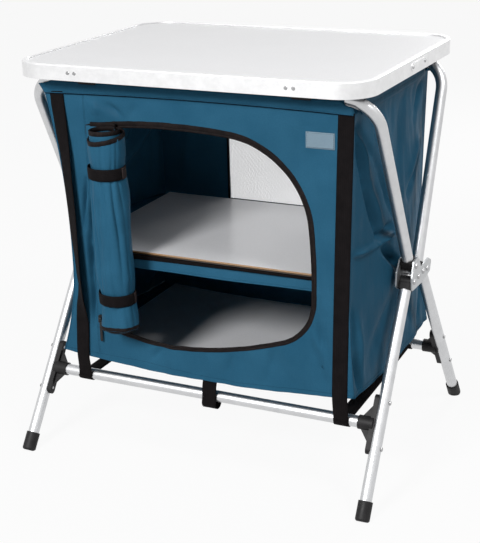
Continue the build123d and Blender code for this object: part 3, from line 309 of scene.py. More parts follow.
CAD_MATERIALS = {"tube_aluminium": TUBE, "edge_aluminium": EDGE, "rivet_steel": RIVET, "hub_steel": STEEL,
                 "black_plastic": PLASTIC, "table_laminate": TOP, "board_laminate": BOARD,
                 "dark_zip_metal": ENAMEL}
for part in frame["record"]["subparts"]:
    found = CAD_MATERIALS.get(part["material_slot"])
    if found is not None:
        mesh = frame["nodes"][part["node"]].data
        mesh.materials.clear()
        mesh.materials.append(found)


# Mesh helpers: a shape is its points in millimetres, its faces and its cloth coordinates in metres
def piece(name, shape, material, stands_for=(), body="cabinet", smooth=True):
    """A new piece: it rides on a body, stands for its CAD nodes, and gets a mesh of its own if it is on the
    cabinet.
    """
    points, faces, uv = shape
    mesh = bpy.data.meshes.new(name)
    mesh.from_pydata([tuple(MM * c for c in p) for p in points], [], faces)
    layer = mesh.uv_layers.new(name="UVMap")
    corners = np.zeros(len(mesh.loops), np.int32)
    mesh.loops.foreach_get("vertex_index", corners)
    layer.data.foreach_set("uv", np.asarray(uv, np.float32)[corners].ravel())
    mesh.validate()
    mesh.polygons.foreach_set("use_smooth", [smooth] * len(mesh.polygons))
    mesh.materials.append(material)
    mesh.update()
    made = bpy.data.objects.new(name, mesh)
    bpy.context.scene.collection.objects.link(made)
    if stands_for:
        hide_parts(*stands_for)
    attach(made, body)
    if body == "cabinet":
        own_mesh(made)
    return made


def unit(vectors):
    return vectors / (np.linalg.norm(vectors, axis=-1, keepdims=True) + 1e-12)


def spans(points, axis=0, closed=False):
    """From each point's neighbour before it to the one after it, along one axis of a grid."""
    if closed:
        return np.roll(points, -1, axis) - np.roll(points, 1, axis)
    index = np.arange(points.shape[axis])
    after, before = np.minimum(index + 1, index[-1]), np.maximum(index - 1, 0)
    return np.take(points, after, axis) - np.take(points, before, axis)


def run_of(path):
    """How far along a path each of its points lies."""
    return np.concatenate([[0], np.cumsum(np.linalg.norm(np.diff(path, axis=0), axis=1))])


def between(first, last, share):
    return first + (last - first) * share


def flat_uv(width, height):
    """Cloth coordinates of a rectangle, in millimetres."""
    return lambda v, u: (width * u, height * v)


def thick_grid(rows, columns, place, uv_place, thick, closed_u=False):
    """A sheet with two faces: a grid of points, the same set back along its normals, and the rim between."""
    steps = columns if closed_u else columns - 1

    def over_grid(call):
        return np.array([[call(i / (rows - 1), j / steps) for j in range(columns)]
                         for i in range(rows)], float)

    front = over_grid(place)
    normal = unit(np.cross(spans(front, 1, closed_u), spans(front, 0)))
    points = np.concatenate([front.reshape(-1, 3), (front - normal * thick).reshape(-1, 3)])
    uv = over_grid(uv_place).reshape(-1, 2) * MM
    count = rows * columns
    faces = []
    for i in range(rows - 1):
        for j in range(steps):
            k = (j + 1) % columns
            a, b, c, d = i * columns + j, i * columns + k, (i + 1) * columns + k, (i + 1) * columns + j
            faces += [(a, b, c, d), (a + count, d + count, c + count, b + count)]
    last = (rows - 1) * columns
    for j in range(steps):
        k = (j + 1) % columns
        faces += [(j, j + count, k + count, k), (last + j, last + k, last + k + count, last + j + count)]
    if not closed_u:
        for a in range(0, last, columns):
            b, c, d = a + columns - 1, a + 2 * columns - 1, a + columns
            faces += [(a, d, d + count, a + count), (b, b + count, c + count, c)]
    return points, faces, np.concatenate([uv, uv])


def sweep(path, section, across, up=None, closed=False, strap=False):
    """A section of (across, up) pairs carried along a path; a strap's cloth coordinates start across it."""
    path = np.asarray(path, float)
    along = unit(spans(path, 0, closed))
    across = np.broadcast_to(np.asarray(across, float), path.shape)
    across = unit(across - along * (across * along).sum(1, keepdims=True))
    lift = np.cross(along, across)
    flipped = up is not None and float((lift * np.asarray(up, float)).sum(1).mean()) < 0
    if flipped:
        lift = -lift
    points, uv = [], []
    for p, o, u, run in zip(path, across, lift, run_of(path)):
        for index, (a, b) in enumerate(section):
            points.append(p + o * a + u * b)
            uv.append((a * MM, run * MM) if strap else (run * MM, index * 2 * MM))
    area = sum(a * d - b * c for (a, b), (c, d) in zip(section, section[1:] + section[:1]))
    turned = (area > 0) != flipped
    size, count = len(section), len(path)
    faces = []
    for i in range(count if closed else count - 1):
        m = (i + 1) % count
        for j in range(size):
            k = (j + 1) % size
            faces.append((i * size + j, i * size + k, m * size + k, m * size + j))
    if not closed:
        faces.append(tuple(reversed(range(size))))
        faces.append(tuple((count - 1) * size + j for j in range(size)))
    return points, faces if turned else [face[::-1] for face in faces], uv


def ribbon(path, across, width=STRAP_W, thick=WEB, crown=0.0, steps=6):
    """A flat strap along a path, thinner at its edges; it may be crowned a little."""
    section = []
    for face in (1, -1):
        for s in face * np.linspace(-0.5, 0.5, steps + 1):
            edge = 0.65 if abs(s) > 0.49 else 1.0
            section.append((s * width, -face * edge * thick / 2 - crown * (1 - 4 * s * s)))
    return sweep(path, section, across, strap=True)


def rod(path, radius, across, sides=6):
    """A thin round cord along a path."""
    angles = np.linspace(0, tau, sides + 1)[:-1]
    return sweep(path, [(radius * cos(a), radius * sin(a)) for a in angles], across)


def join(*shapes):
    """Several shapes as one."""
    points, faces, uv = [], [], []
    for p, f, t in shapes:
        base = len(points)
        points.extend(map(tuple, p))
        uv.extend(map(tuple, t))
        faces.extend(tuple(base + i for i in face) for face in f)
    return points, faces, uv


# One thread is three rings of four points
THREAD_FACES = [(0, 1, 2, 3), (11, 10, 9, 8)]
THREAD_FACES += [(ring + a, ring + (a + 1) % 4, ring + 4 + (a + 1) % 4, ring + 4 + a)
                 for ring in (0, 4) for a in range(4)]


def stitches(path, out, pitch=4.2, length=2.8, radius=0.28):
    """A row of short threads that lie along a path, each sunk a little at its ends."""
    path = np.asarray(path, float)
    out = np.broadcast_to(np.asarray(out, float), path.shape)
    run = run_of(path)

    def at(where, values):
        return np.array([np.interp(where, run, values[:, k]) for k in range(3)])

    shapes = []
    for index in range(int(run[-1] / pitch)):
        middle = (index + 0.5) * pitch
        rings = [at(middle + s, path) for s in (-length / 2, 0, length / 2)]
        lift = at(middle, out)
        side = unit(np.cross(unit(rings[2] - rings[0]), lift))
        points = []
        for centre, r, height in zip(rings, (radius / 2, radius, radius / 2), (-0.15, 0.25, -0.15)):
            for angle in np.radians((45, 135, 225, 315)):
                points.append(centre + lift * (height + r * sin(angle)) + side * (r * cos(angle)))
        shapes.append((points, THREAD_FACES, [(0.0, 0.0)] * len(points)))
    return join(*shapes)


def smooth_step(value):
    value = min(max(value, 0.0), 1.0)
    return value * value * (3 - 2 * value)


def creased(x, z, creases):
    """What soft creases add at a place; each is a line that fades at its ends, a width and a depth."""
    total = 0.0
    for (ax, az), (bx, bz), width, depth in creases:
        dx, dz = bx - ax, bz - az
        near = min(max(((x - ax) * dx + (z - az) * dz) / (dx * dx + dz * dz), 0.0), 1.0)
        away = hypot(x - ax - dx * near, z - az - dz * near)
        total += depth * (0.35 + 0.65 * sin(pi * near)) * exp(-(away / width) ** 2)
    return total


def ripple(x, z, scale, seed=0.0):
    return noise.noise(Vector((x / scale + seed, z / scale, seed * 3.7)))


# The cabinet's surfaces

# Each upright edge's reach at the seam, the waist and the hem, and its bend below and above the waist
CORNERS = {(1, -1): (266.5, 259.5, 268.0, 1.6, 1.3), (-1, -1): (267.0, 235.0, 265.0, 2.0, 2.2),
           (1, 1): (262.0, 254.5, 272.0, 1.6, 1.3), (-1, 1): (264.0, 255.0, 268.0, 1.6, 1.3)}


def corner_x(z, side, facing):
    top, waist, foot, below, above = CORNERS[side, facing]
    if z >= WAIST_Z:
        return between(waist, top, ((z - WAIST_Z) / (SEAM_Z - WAIST_Z)) ** above)
    return between(waist, foot, ((WAIST_Z - z) / (WAIST_Z - HEM_CORNER)) ** below)


def hem_z(x):
    return between(HEM_MIDDLE, HEM_CORNER, (x / CORNER_FOOT) ** 2)


def strap_x(z, side, facing):
    """The middle of a strap's run at a level."""
    if side < 0 and facing < 0:
        return float(np.interp(z, LEFT_RUN_Z, LEFT_RUN_X))
    top_x, foot_x = STRAPS[side, facing]
    return between(foot_x, top_x, max((z - HEM_MIDDLE) / (SEAM_Z - HEM_MIDDLE), 0.0) ** 1.2)


def free_cloth(x, z, facing):
    """How far a panel is free to crease: 0 at its seams and where a strap presses it flat, 1 in the open."""
    side = 1 if x > 0 else -1
    edge = corner_x(min(z, SEAM_Z), side, facing)
    beside_strap = smooth_step((abs(x - strap_x(z, side, facing)) - 0.5 * STRAP_W - 1) / 13)
    return smooth_step((SEAM_Z - z) / 30) * smooth_step((edge - abs(x)) / 16 + 0.15) * beside_strap


# Creases as start, end, width and depth; on the panels a positive depth goes inwards, on the sides outwards
FRONT_CREASES = [((-198, 482), (-211, 398), 4.5, 10), ((-188, 445), (-198, 378), 5, 11),
                 ((-198, 378), (-200, 315), 6, 12), ((-200, 315), (-203, 228), 7, 12),
                 ((-194, 478), (-204, 420), 4, -4), ((-209, 390), (-212, 250), 5, -4),
                 ((-150, 612), (-128, 592), 5, 4), ((-176, 616), (-170, 588), 6, -3),
                 ((-96, 618), (-110, 590), 7, 3), ((208, 330), (216, 215), 6, 5),
                 ((200, 270), (236, 182), 6, -5), ((222, 300), (228, 190), 5, 4),
                 ((-70, 207), (-92, 178), 6, 3), ((60, 214), (48, 172), 7, 3),
                 ((130, 230), (122, 178), 7, 3.5), ((188, 300), (222, 196), 13, 5.0),
                 ((205, 262), (246, 205), 8, -3.5), ((-165, 618), (-120, 588), 10, 2.0),
                 ((-185, 612), (-150, 590), 7, -1.4), ((-60, 205), (-120, 172), 12, 1.3),
                 ((120, 232), (175, 178), 14, 1.6), ((205, 470), (214, 330), 9, 1.4),
                 ((40, 214), (20, 165), 16, -1.2), ((-200, 225), (-235, 180), 10, 2.2),
                 ((215, 610), (190, 520), 12, 1.2)]
BACK_CREASES = [((180, 600), (215, 380), 12, 2.5), ((-180, 600), (-215, 380), 12, 2.5),
                ((-120, 360), (-235, 200), 15, 2.5), ((120, 360), (235, 200), 15, 2.5)]
SIDE_CREASES = [((-172, 598), (-138, 506), 6, -6), ((-138, 506), (-93, 411), 6, -7),
                ((-158, 590), (-118, 500), 9, 4), ((-118, 500), (-78, 420), 9, 4.5),
                ((-183, 405), (-95, 399), 4.5, 6), ((-95, 399), (-18, 404), 4.5, 6),
                ((-100, 411), (-40, 416), 6, -5), ((-75, 388), (-12, 338), 8, -8),
                ((-180, 614), (-85, 524), 7, -3.5), ((-85, 524), (-25, 423), 8, -4.5),
                ((150, 502), (52, 440), 9, -7), ((130, 520), (60, 470), 10, 3.5),
                ((-178, 325), (-172, 283), 5, -6), ((-172, 283), (-176, 250), 4, -7),
                ((-174, 240), (-160, 180), 6, -8), ((-160, 300), (-150, 190), 10, 4),
                ((-30, 300), (-120, 215), 16, -4), ((50, 330), (170, 330), 14, -3),
                ((20, 300), (70, 215), 10, -4), ((165, 250), (120, 180), 12, -4),
                ((0, 300), (10, 200), 10, 2.5), ((100, 560), (150, 615), 11, -4),
                ((-60, 600), (-35, 520), 14, 3), ((30, 600), (5, 500), 16, -3)]
SIDE_CREASE_SCALE, SIDE_SINK = 1.75, 3.0


def front_y(x, z):
    """The front panel's outer face: nearly flat, creased as in the photograph, and slack at its hem."""
    inward = creased(x, z, FRONT_CREASES) + 1.5 * ripple(x, 0.3 * z, 21.0, 3.0)
    inward += 1.6 * ripple(x, z, 62.0, 1.0) + 0.6 * ripple(x, z, 24.0, 2.0)
    inward += 1.2 * smooth_step((230 - z) / 60) * sin(x / 26.0 + 0.6 * sin(z / 21.0))
    off_patch = max(abs(x - PATCH_X) - PATCH_WIDE / 2 - 1, abs(z - PATCH_Z) - PATCH_HIGH / 2 - 0.5)
    return FRONT_Y + 0.5 + inward * smooth_step((off_patch - 1) / 10) * free_cloth(x, z, -1)


def back_y(x, z):
    inward = creased(x, z, BACK_CREASES) + 1.3 * ripple(x, z, 70.0, 5.0) + 0.6 * ripple(x, z, 26.0, 6.0)
    return HALF_DEPTH - 0.5 - inward * free_cloth(x, z, 1)


PANEL_Y = {-1: front_y, 1: back_y}


def side_x(y, z, side):
    """The side cloth's outer face: bowed out by the hub, creased, and never inside the shelf board's end."""
    if z >= WAIST_Z:
        middle = between(SIDE_HUB, SIDE_TOP, (z - WAIST_Z) / (SIDE_SEAM_Z - WAIST_Z))
    else:
        middle = between(SIDE_HUB, SIDE_FOOT, (WAIST_Z - z) / (WAIST_Z - HEM_CORNER))
    corner = between(corner_x(z, side, -1), corner_x(z, side, 1), (y / HALF_DEPTH + 1) / 2)
    bow = 1 - abs(y / HALF_DEPTH) ** (1.2 if side < 0 and y < 0 else 2.2)
    fold = SIDE_CREASE_SCALE * creased(y, z, SIDE_CREASES) - SIDE_SINK
    fold += 1.8 * ripple(y, z, 66.0, 9.0 + side) + 0.7 * ripple(y, z, 25.0, 11.0 + side)
    fold += 1.3 * ripple(y, 0.3 * z, 20.0, 13.0 + side)
    hold = smooth_step((SIDE_SEAM_Z - z) / 26 + 0.05) * smooth_step((HALF_DEPTH - abs(y)) / 22 + 0.05)
    reach = min(between(corner, middle, max(bow, 0.0)) + fold * hold, SIDE_HUB + 1.2)
    if abs(z - BOARD_Z) < 9 and abs(y) < 171:
        reach = max(reach, BOARD_HALF + 2.0)
    return side * reach


def arc_points(first, middle, last, count):
    """Points on the arc through three points, the last left out."""
    (ax, ay), (bx, by), (cx, cy) = first, middle, last
    d = 2 * (ax * (by - cy) + bx * (cy - ay) + cx * (ay - by))
    a2, b2, c2 = (x * x + y * y for x, y in (first, middle, last))
    ux = (a2 * (by - cy) + b2 * (cy - ay) + c2 * (ay - by)) / d
    uy = (a2 * (cx - bx) + b2 * (ax - cx) + c2 * (bx - ax)) / d
    r = hypot(ax - ux, ay - uy)
    start, mid, end = (atan2(y - uy, x - ux) for x, y in (first, middle, last))
    turn = (end - start) % tau
    if (mid - start) % tau > turn:
        turn -= tau
    angles = [start + turn * i / count for i in range(count)]
    return [(ux + r * cos(angle), uy + r * sin(angle)) for angle in angles]


def door_outline(per_arc=28, edge=40):
    """The opening's edge, clockwise seen from the front, beginning at the upper left."""
    points = []
    first = DOOR_START
    for middle, last in DOOR_ARCS:
        points += arc_points(first, middle, last, per_arc)
        first = last
    points += [(DOOR_EDGE, between(first[1], DOOR_START[1], i / edge)) for i in range(edge)]
    return np.array(points)


def panel_outline(facing):
    levels = np.linspace(SEAM_Z, HEM_CORNER, 120)
    right = [(corner_x(z, 1, facing) - 0.4, z) for z in levels]
    left = [(0.4 - corner_x(z, -1, facing), z) for z in levels[::-1]]
    hem = [(x, hem_z(x)) for x in np.linspace(right[-1][0], left[0][0], 160)]
    top = [(x, SEAM_Z) for x in np.linspace(left[-1][0], right[0][0], 160)]
    return np.array(right + hem[1:-1] + left + top[1:-1])


def rectangle_outline(half_width, low, high, steps=60):
    xs = np.linspace(-half_width, half_width, steps)
    zs = np.linspace(low, high, steps)
    foot, right = [(x, low) for x in xs], [(half_width, z) for z in zs[1:]]
    top, left = [(x, high) for x in xs[::-1][1:]], [(-half_width, z) for z in zs[::-1][1:-1]]
    return np.array(foot + right + top + left)


def radius_at(outline, centre, angles):
    """How far an outline lies from a centre, at each of some angles."""
    offset = outline - centre
    found = np.arctan2(offset[:, 1], offset[:, 0])
    order = np.argsort(found)
    return np.interp(angles, found[order], np.hypot(offset[:, 0], offset[:, 1])[order], period=tau)


def holed_panel(hole, facing, centre, rings=56, around=520):
    """A panel between its hole's edge and its outer edge, laid out in rings about one centre."""
    outer = panel_outline(facing)
    depth_at = PANEL_Y[facing]
    top, foot = outer[outer[:, 1] > SEAM_Z - 0.1], outer[outer[:, 1] < HEM_CORNER + 0.1]
    ends = [edge[pick(edge[:, 0])] for edge in (top, foot) for pick in (np.argmax, np.argmin)]
    corners = [atan2(z - centre[1], x - centre[0]) for x, z in ends]
    angles = np.sort(np.concatenate([np.linspace(-pi, pi, around, endpoint=False), corners]))
    inner_r, outer_r = (radius_at(edge, np.array(centre), angles) for edge in (hole, outer))

    def flat_point(v, u):
        index = int(round(u * len(angles))) % len(angles)
        r = between(inner_r[index], outer_r[index], v)
        return centre[0] + r * cos(angles[index]), centre[1] + r * sin(angles[index])

    def place(v, u):
        x, z = flat_point(v, u)
        return x, depth_at(x, z), z

    return thick_grid(rings, len(angles), place, flat_point, -facing * CLOTH, closed_u=True)


DOOR = door_outline()
front = piece("front_panel_cloth", holed_panel(DOOR, -1, DOOR_MIDDLE), BLUE, ["front_panel"])

WINDOW = rectangle_outline(WINDOW_HALF, WINDOW_LOW, WINDOW_HIGH)
back = piece("back_panel_cloth", holed_panel(WINDOW, 1, WINDOW_MIDDLE), BLUE, ["back_panel"])

for side, name in SIDES:
    def place(v, u):
        y = HALF_DEPTH * (2 * u - 1)
        z = between(HEM_CORNER, SIDE_SEAM_Z, v)
        return side_x(y, z, side), y, z

    shape = thick_grid(140, 116, place, flat_uv(366, 453), CLOTH * side)
    cloth = piece(f"{name}_side_cloth", shape, BLUE, [f"{name}_side_panel"])

BAND_HALF, BAND_FOOT, BAND_TOP = 158.0, SIDE_SEAM_Z - 6, 650.5
bands = []
for side, name in SIDES:
    def place(v, u):
        y = BAND_HALF * (2 * u - 1)
        sag = 0.7 * sin(pi * u) * (1 - v)
        return side * (abs(side_x(y, SIDE_SEAM_Z, side)) + 1.4 - sag), y, between(BAND_FOOT, BAND_TOP, v)

    bands.append(thick_grid(8, 40, place, flat_uv(316, 32), CLOTH * side))
band = piece("side_band_cloth", join(*bands), BLUE, ["side_bands"])

# Mesh window: two sets of slanted strands, and its bound edge
MESH_LOW, MESH_HIGH, MESH_HALF = WINDOW_LOW - 2.5, WINDOW_HIGH + 4, WINDOW_HALF + 4
MESH_Y, MESH_SLANT, MESH_PITCH = 180.9, 0.42, 2.4
STRAND_HALF, STRAND_THICK = 0.3, 0.25
BOX_FACES = [(0, 3, 2, 1), (4, 5, 6, 7), (0, 1, 5, 4), (2, 3, 7, 6), (1, 2, 6, 5), (3, 0, 4, 7)]
strands = []
for slant, y in ((MESH_SLANT, MESH_Y), (-MESH_SLANT, MESH_Y - 0.35)):
    span = 2 * MESH_HALF * slant
    level = MESH_LOW - max(span, 0)
    while level < MESH_HIGH - min(span, 0):
        ends = []
        for x in (-MESH_HALF, MESH_HALF):
            z = level + slant * (x + MESH_HALF)
            inside = min(max(z, MESH_LOW), MESH_HIGH)
            ends.append((x + (inside - z) / slant, inside))
        if ends[1][0] - ends[0][0] > 2:
            face = [(x, z - STRAND_HALF) for x, z in ends] + [(x, z + STRAND_HALF) for x, z in reversed(ends)]
            points = [(x, y - depth, z) for depth in (0.0, STRAND_THICK) for x, z in face]
            strands.append((points, BOX_FACES, [(x * MM, z * MM) for x, _, z in points]))
        level += MESH_PITCH
piece("mesh_window_net", join(*strands), MESH, ["mesh_window"], smooth=False)

WINDOW_TAPE = [(-1.9, -0.5), (2.2, -0.5), (2.4, 0.0), (2.2, 0.6), (-1.9, 0.6), (-2.1, 0.0)]
WINDOW_TAPE_Y = 179.4
loop = rectangle_outline(WINDOW_HALF + 1.5, WINDOW_LOW - 1.5, WINDOW_HIGH + 1.5, 30)
path = np.array([(x, WINDOW_TAPE_Y, z) for x, z in loop])
outward = path - np.array([0, WINDOW_TAPE_Y, (WINDOW_LOW + WINDOW_HIGH) / 2])
shape = sweep(path, WINDOW_TAPE, outward, (0, -1, 0), closed=True)
piece("window_binding_tape", shape, TAPE, ["window_binding"])

# Door binding: tape sewn round the opening with the zip's coil on its inner edge, narrow along the hinge
DOOR_TAPE = [(-1.6, -0.6), (-1.9, 0.4), (-1.3, 1.4), (0.0, 1.9), (1.1, 1.6), (1.6, 1.1), (2.2, 1.1),
             (2.6, 1.7), (3.6, 1.9), (5.4, 1.7), (6.6, 1.2), (7.0, 0.6), (7.0, -0.3), (1.2, -1.3)]
# How much wider or narrower than that the tape is, by the share of the way round
TAPE_WIDE = [(0.0, 1.5), (0.12, 1.5), (0.3, 1.0), (0.55, 0.85), (0.75, 0.8), (0.9, 1.1), (1.0, 1.3)]
door_path = np.array([(x, front_y(x, z), z) for x, z in DOOR])
along = unit(spans(DOOR, closed=True))
door_out = np.stack([-along[:, 1], np.zeros(len(DOOR)), along[:, 0]], 1)
if ((door_path - np.array([DOOR_MIDDLE[0], FRONT_Y, DOOR_MIDDLE[1]])) * door_out).sum(1).mean() < 0:
    door_out = -door_out
wide = np.interp(np.arange(len(DOOR)) / len(DOOR), *zip(*TAPE_WIDE))
points, faces, uv = sweep(door_path, DOOR_TAPE, door_out, (0, -1, 0), closed=True)
spread = []
for index, point in enumerate(points):
    ring, across = divmod(index, len(DOOR_TAPE))
    reach, height = DOOR_TAPE[across]
    hinge = smooth_step((ring - len(DOOR) + 40) / 4) * smooth_step((len(DOOR) - ring) / 4)
    wider = max(reach - 2.0, 0.0) * (wide[ring] - 1.0) * (1 - hinge) - 0.85 * max(reach, 0.0) * hinge
    moved = point + door_out[ring] * wider
    moved[1] += front_y(moved[0], moved[2]) - door_path[ring][1] + 0.75 * max(height, 0.0) * hinge
    spread.append(moved)
piece("door_binding_tape", (spread, faces, uv), TAPE, ["door_binding"])

# Rolled-up door
# Its turns, the share of the sheet behind it, how much further in each turn lies, and how its ties pinch it
TURNS, FLAP_SHARE, TURN_STEP = 2.2, 0.12, 6.4
PINCH, PINCH_REACH = 4.3, 22.0
roll_y = ROLL_BACK_Y - ROLL_R
roll_foot = np.array([ROLL_FOOT[0], roll_y, ROLL_FOOT[1]])
roll_line = np.array([ROLL_TOP[0], roll_y, ROLL_TOP[1]]) - roll_foot
roll_len = float(np.linalg.norm(roll_line))
roll_dir = roll_line / roll_len
roll_a = np.array([0.0, 1.0, 0.0])
roll_b = np.cross(roll_dir, roll_a)
tie_levels = [(z - ROLL_FOOT[1]) / (ROLL_TOP[1] - ROLL_FOOT[1]) * roll_len for z in TIE_Z]
# Furrows down the roll: where round it in degrees, width, depth, and where its wander starts
ROLL_FOLDS = [(-104, 6.0, 2.6, 0.3), (-128, 7.0, 4.2, 1.1), (-160, 7.5, 4.0, 0.6), (-186, 5.5, 2.6, 2.7),
              (-210, 7.5, 4.6, 1.6), (-232, 5.5, 3.2, 3.3), (-250, 7.0, 4.0, 0.2)]


def round_roll(s, angle, radius, flat=1.0):
    """A point at a height along the roll's axis, an angle round it and a distance from it."""
    across = roll_a * (radius * cos(angle) * flat) + roll_b * (radius * sin(angle))
    return roll_foot + roll_dir * s + across


def roll_folds(angle, s):
    """Long furrows down the roll, deepest between the ties, each wandering a little."""
    turned = degrees(angle)
    if turned < -290:
        return 0.0
    slack = 0.35 + 0.65 * sin(pi * min(max((s - 45) / (roll_len - 90), 0.0), 1.0)) ** 0.7
    total = 0.0
    for middle, width, depth, phase in ROLL_FOLDS:
        wander = 5.0 * sin(s / 62.0 + phase) + 3.0 * sin(s / 27.0 + 2.0 * phase)
        strength = 0.65 + 0.35 * sin(s / 48.0 + 3.0 * phase)
        total += depth * strength * exp(-((turned - middle - wander) / width) ** 2)
    return total * slack


def roll_point(v, u):
    """The sheet: from the panel's straight edge, at u = 0, behind the roll and then round it, inwards."""
    s = v * roll_len
    if u < FLAP_SHARE:
        t = u / FLAP_SHARE
        width = between(ROLL_FOOT[0], ROLL_TOP[0], v) - (DOOR_LEFT + 1)
        wave = 0.48 * sin(v * 9.0) * t
        return roll_foot + roll_dir * s + roll_a * (ROLL_R - 0.5 - wave) + roll_b * (width * (1 - t))
    turn = (u - FLAP_SHARE) / (1 - FLAP_SHARE) * TURNS
    angle = -tau * turn
    outer = smooth_step(1.6 - turn)
    pinch = PINCH * sum(exp(-((s - level) / PINCH_REACH) ** 2) for level in tie_levels)
    bulge = (0.9 * sin(3 * angle + v * 5.0) + 0.7 * sin(5 * angle - v * 9.0 + 1.0)
             + 2.6 * ripple(35 * cos(angle), 0.4 * s, 30.0, 21.0)
             + 1.5 * ripple(30 * sin(angle) + 9, 0.45 * s, 13.0, 23.0))
    radius = ROLL_R - 0.6 - TURN_STEP * turn + outer * (bulge - pinch) - roll_folds(angle, s)
    return round_roll(s, angle, min(radius, ROLL_R + 0.6), 1 - 0.07 * cos(angle) ** 2 * outer)


def roll_ends(u):
    """The sheet's foot and top: the door is a D, so its outer wraps are a little shorter."""
    turn = max(u - FLAP_SHARE, 0) / (1 - FLAP_SHARE) * TURNS
    return 0.006 + 0.014 * exp(-((turn - 0.5) / 0.4) ** 2), 1.0 - 0.045 * exp(-((turn - 0.55) / 0.42) ** 2)


def closer(u):
    """Spends three quarters of the columns on the outermost turn."""
    return u * 0.8 if u < 0.75 else 0.6 + (u - 0.75) * 1.6


def roll_place(v, u):
    u = closer(u)
    return roll_point(between(*roll_ends(u), v), u)


shape = thick_grid(96, 460, roll_place, lambda v, u: (410 * closer(u), 336 * v), ROLL_CLOTH)
roll = piece("rolled_door_cloth", shape, BLUE, ["rolled_door"])

ROLL_TAPE = [(1.1, 6.0), (0.4, 6.4), (-1.3, 6.0), (-1.3, -0.9), (-0.2, -1.4)]
tapes = []
for end, turned in ((0, 1), (1, -1)):
    path, out = [], []
    for u in np.linspace(0.02, 1.0, 260):
        v = roll_ends(u)[end]
        here = roll_point(v, u)
        outward = here - roll_foot - roll_dir * (v * roll_len)
        outward -= roll_dir * float(np.dot(outward, roll_dir))
        path.append(here)
        out.append(outward if u >= FLAP_SHARE + 0.01 else (0.0, -1.0, 0.0))
    tapes.append(sweep(path, [(1.0, 0.6)] + [(a, b * turned) for a, b in ROLL_TAPE], out))
tape = piece("rolled_door_zip", join(*tapes), TAPE)

# The two ties round the roll, each with the lap of its loop tape
TIE_START, TIE_TURN, TIE_STEPS, TIE_LAP_FROM = -8, -352, 72, 58
TIE_TILT, TIE_W, LAP_W, LAP_THICK = 1.5, 19.0, 18.6, 1.1
ties, laps = [], []
for level, start, stop in zip(tie_levels, (-52, -50), (-96, -84)):
    path = []
    for k in range(TIE_STEPS + 1):
        angle = radians(TIE_START + TIE_TURN * k / TIE_STEPS)
        radius = ROLL_R - 3.6 + (0.9 if k > TIE_LAP_FROM else 0.0)
        path.append(round_roll(level + TIE_TILT * sin(angle), angle, radius, 0.96))
    ties.append(ribbon(path, roll_dir, TIE_W, WEB, 0.3))
    angles = np.radians(np.linspace(start, stop, 13))
    path = [round_roll(level + TIE_TILT * sin(angle), angle, ROLL_R - 2.2, 0.97) for angle in angles]
    laps.append(ribbon(path, roll_dir, LAP_W, LAP_THICK, 0.2))
piece("door_tie_laps", join(*laps), LOOP)
piece("door_tie_straps", join(*ties), WEBBING, ["door_ties"])

# Straps: the twist of the left front one is given by the width that the camera sees
VIEW_AZIMUTH = radians(25.76)
STRAP_LEAVES_Z = 176.0
STRAP_PROUD, STRAP_GAP = 1.4, 1.2


def upright(side, facing):
    """A strap from the seam to the crossbar that lies on its panel and leaves it at the hem."""
    path, across = [], []
    bar_y = facing * (CROSSBAR_Y[facing] + TUBE_R + STRAP_GAP)
    for z in np.linspace(SEAM_Z - 3, CROSSBAR_Z, 96):
        x = strap_x(z, side, facing)
        twist = 0.0
        if side < 0 and facing < 0:
            seen = float(np.interp(z, LEFT_RUN_Z, LEFT_RUN_SEEN)) * cos(VIEW_AZIMUTH) / STRAP_W
            twist = max(acos(min(seen, 1.0)) - VIEW_AZIMUTH, 0.0)
        stand_off = 0.5 * STRAP_W * abs(sin(twist))
        y = PANEL_Y[facing](x, max(z, hem_z(x) + 4)) + facing * (STRAP_PROUD + stand_off)
        if z < STRAP_LEAVES_Z:
            y = between(y, bar_y, smooth_step((STRAP_LEAVES_Z - z) / (STRAP_LEAVES_Z - CROSSBAR_Z)))
        path.append((x + stand_off * tan(VIEW_AZIMUTH), y, z))
        across.append((cos(twist), -sin(twist), 0.0))
    return ribbon(path, across)


for facing, name in FACINGS:
    shape = join(upright(-1, facing), upright(1, facing))
    piece(f"{name}_strap_webbing", shape, WEBBING, [f"{name}_straps"])

WRAP_R = TUBE_R + 1.1
for facing, name in FACINGS:
    wraps = []
    for side in (-1, 1):
        x = STRAPS[side, facing][1]
        path = [(x, facing * (CROSSBAR_Y[facing] + WRAP_R * cos(angle)), CROSSBAR_Z - WRAP_R * sin(angle))
                for angle in np.linspace(0, pi, 33)]
        wraps.append(ribbon(path, (1, 0, 0)))
    loops = [f"{name}_strap_loops"]
    piece(f"{name}_strap_wraps", join(*wraps), WEBBING, loops, f"{name}_legs")

runs = []
for side in (-1, 1):
    path = [(between(STRAPS[side, -1][1], STRAPS[side, 1][1], t),
             between(WRAP_R - CROSSBAR_Y[-1], CROSSBAR_Y[1] - WRAP_R, t),
             CROSSBAR_Z + 0.6 - 1.2 * sin(pi * t)) for t in np.linspace(0, 1, 25)]
    runs.append(ribbon(path, (1, 0, 0)))
piece("under_strap_webbing", join(*runs), WEBBING, ["under_straps"])

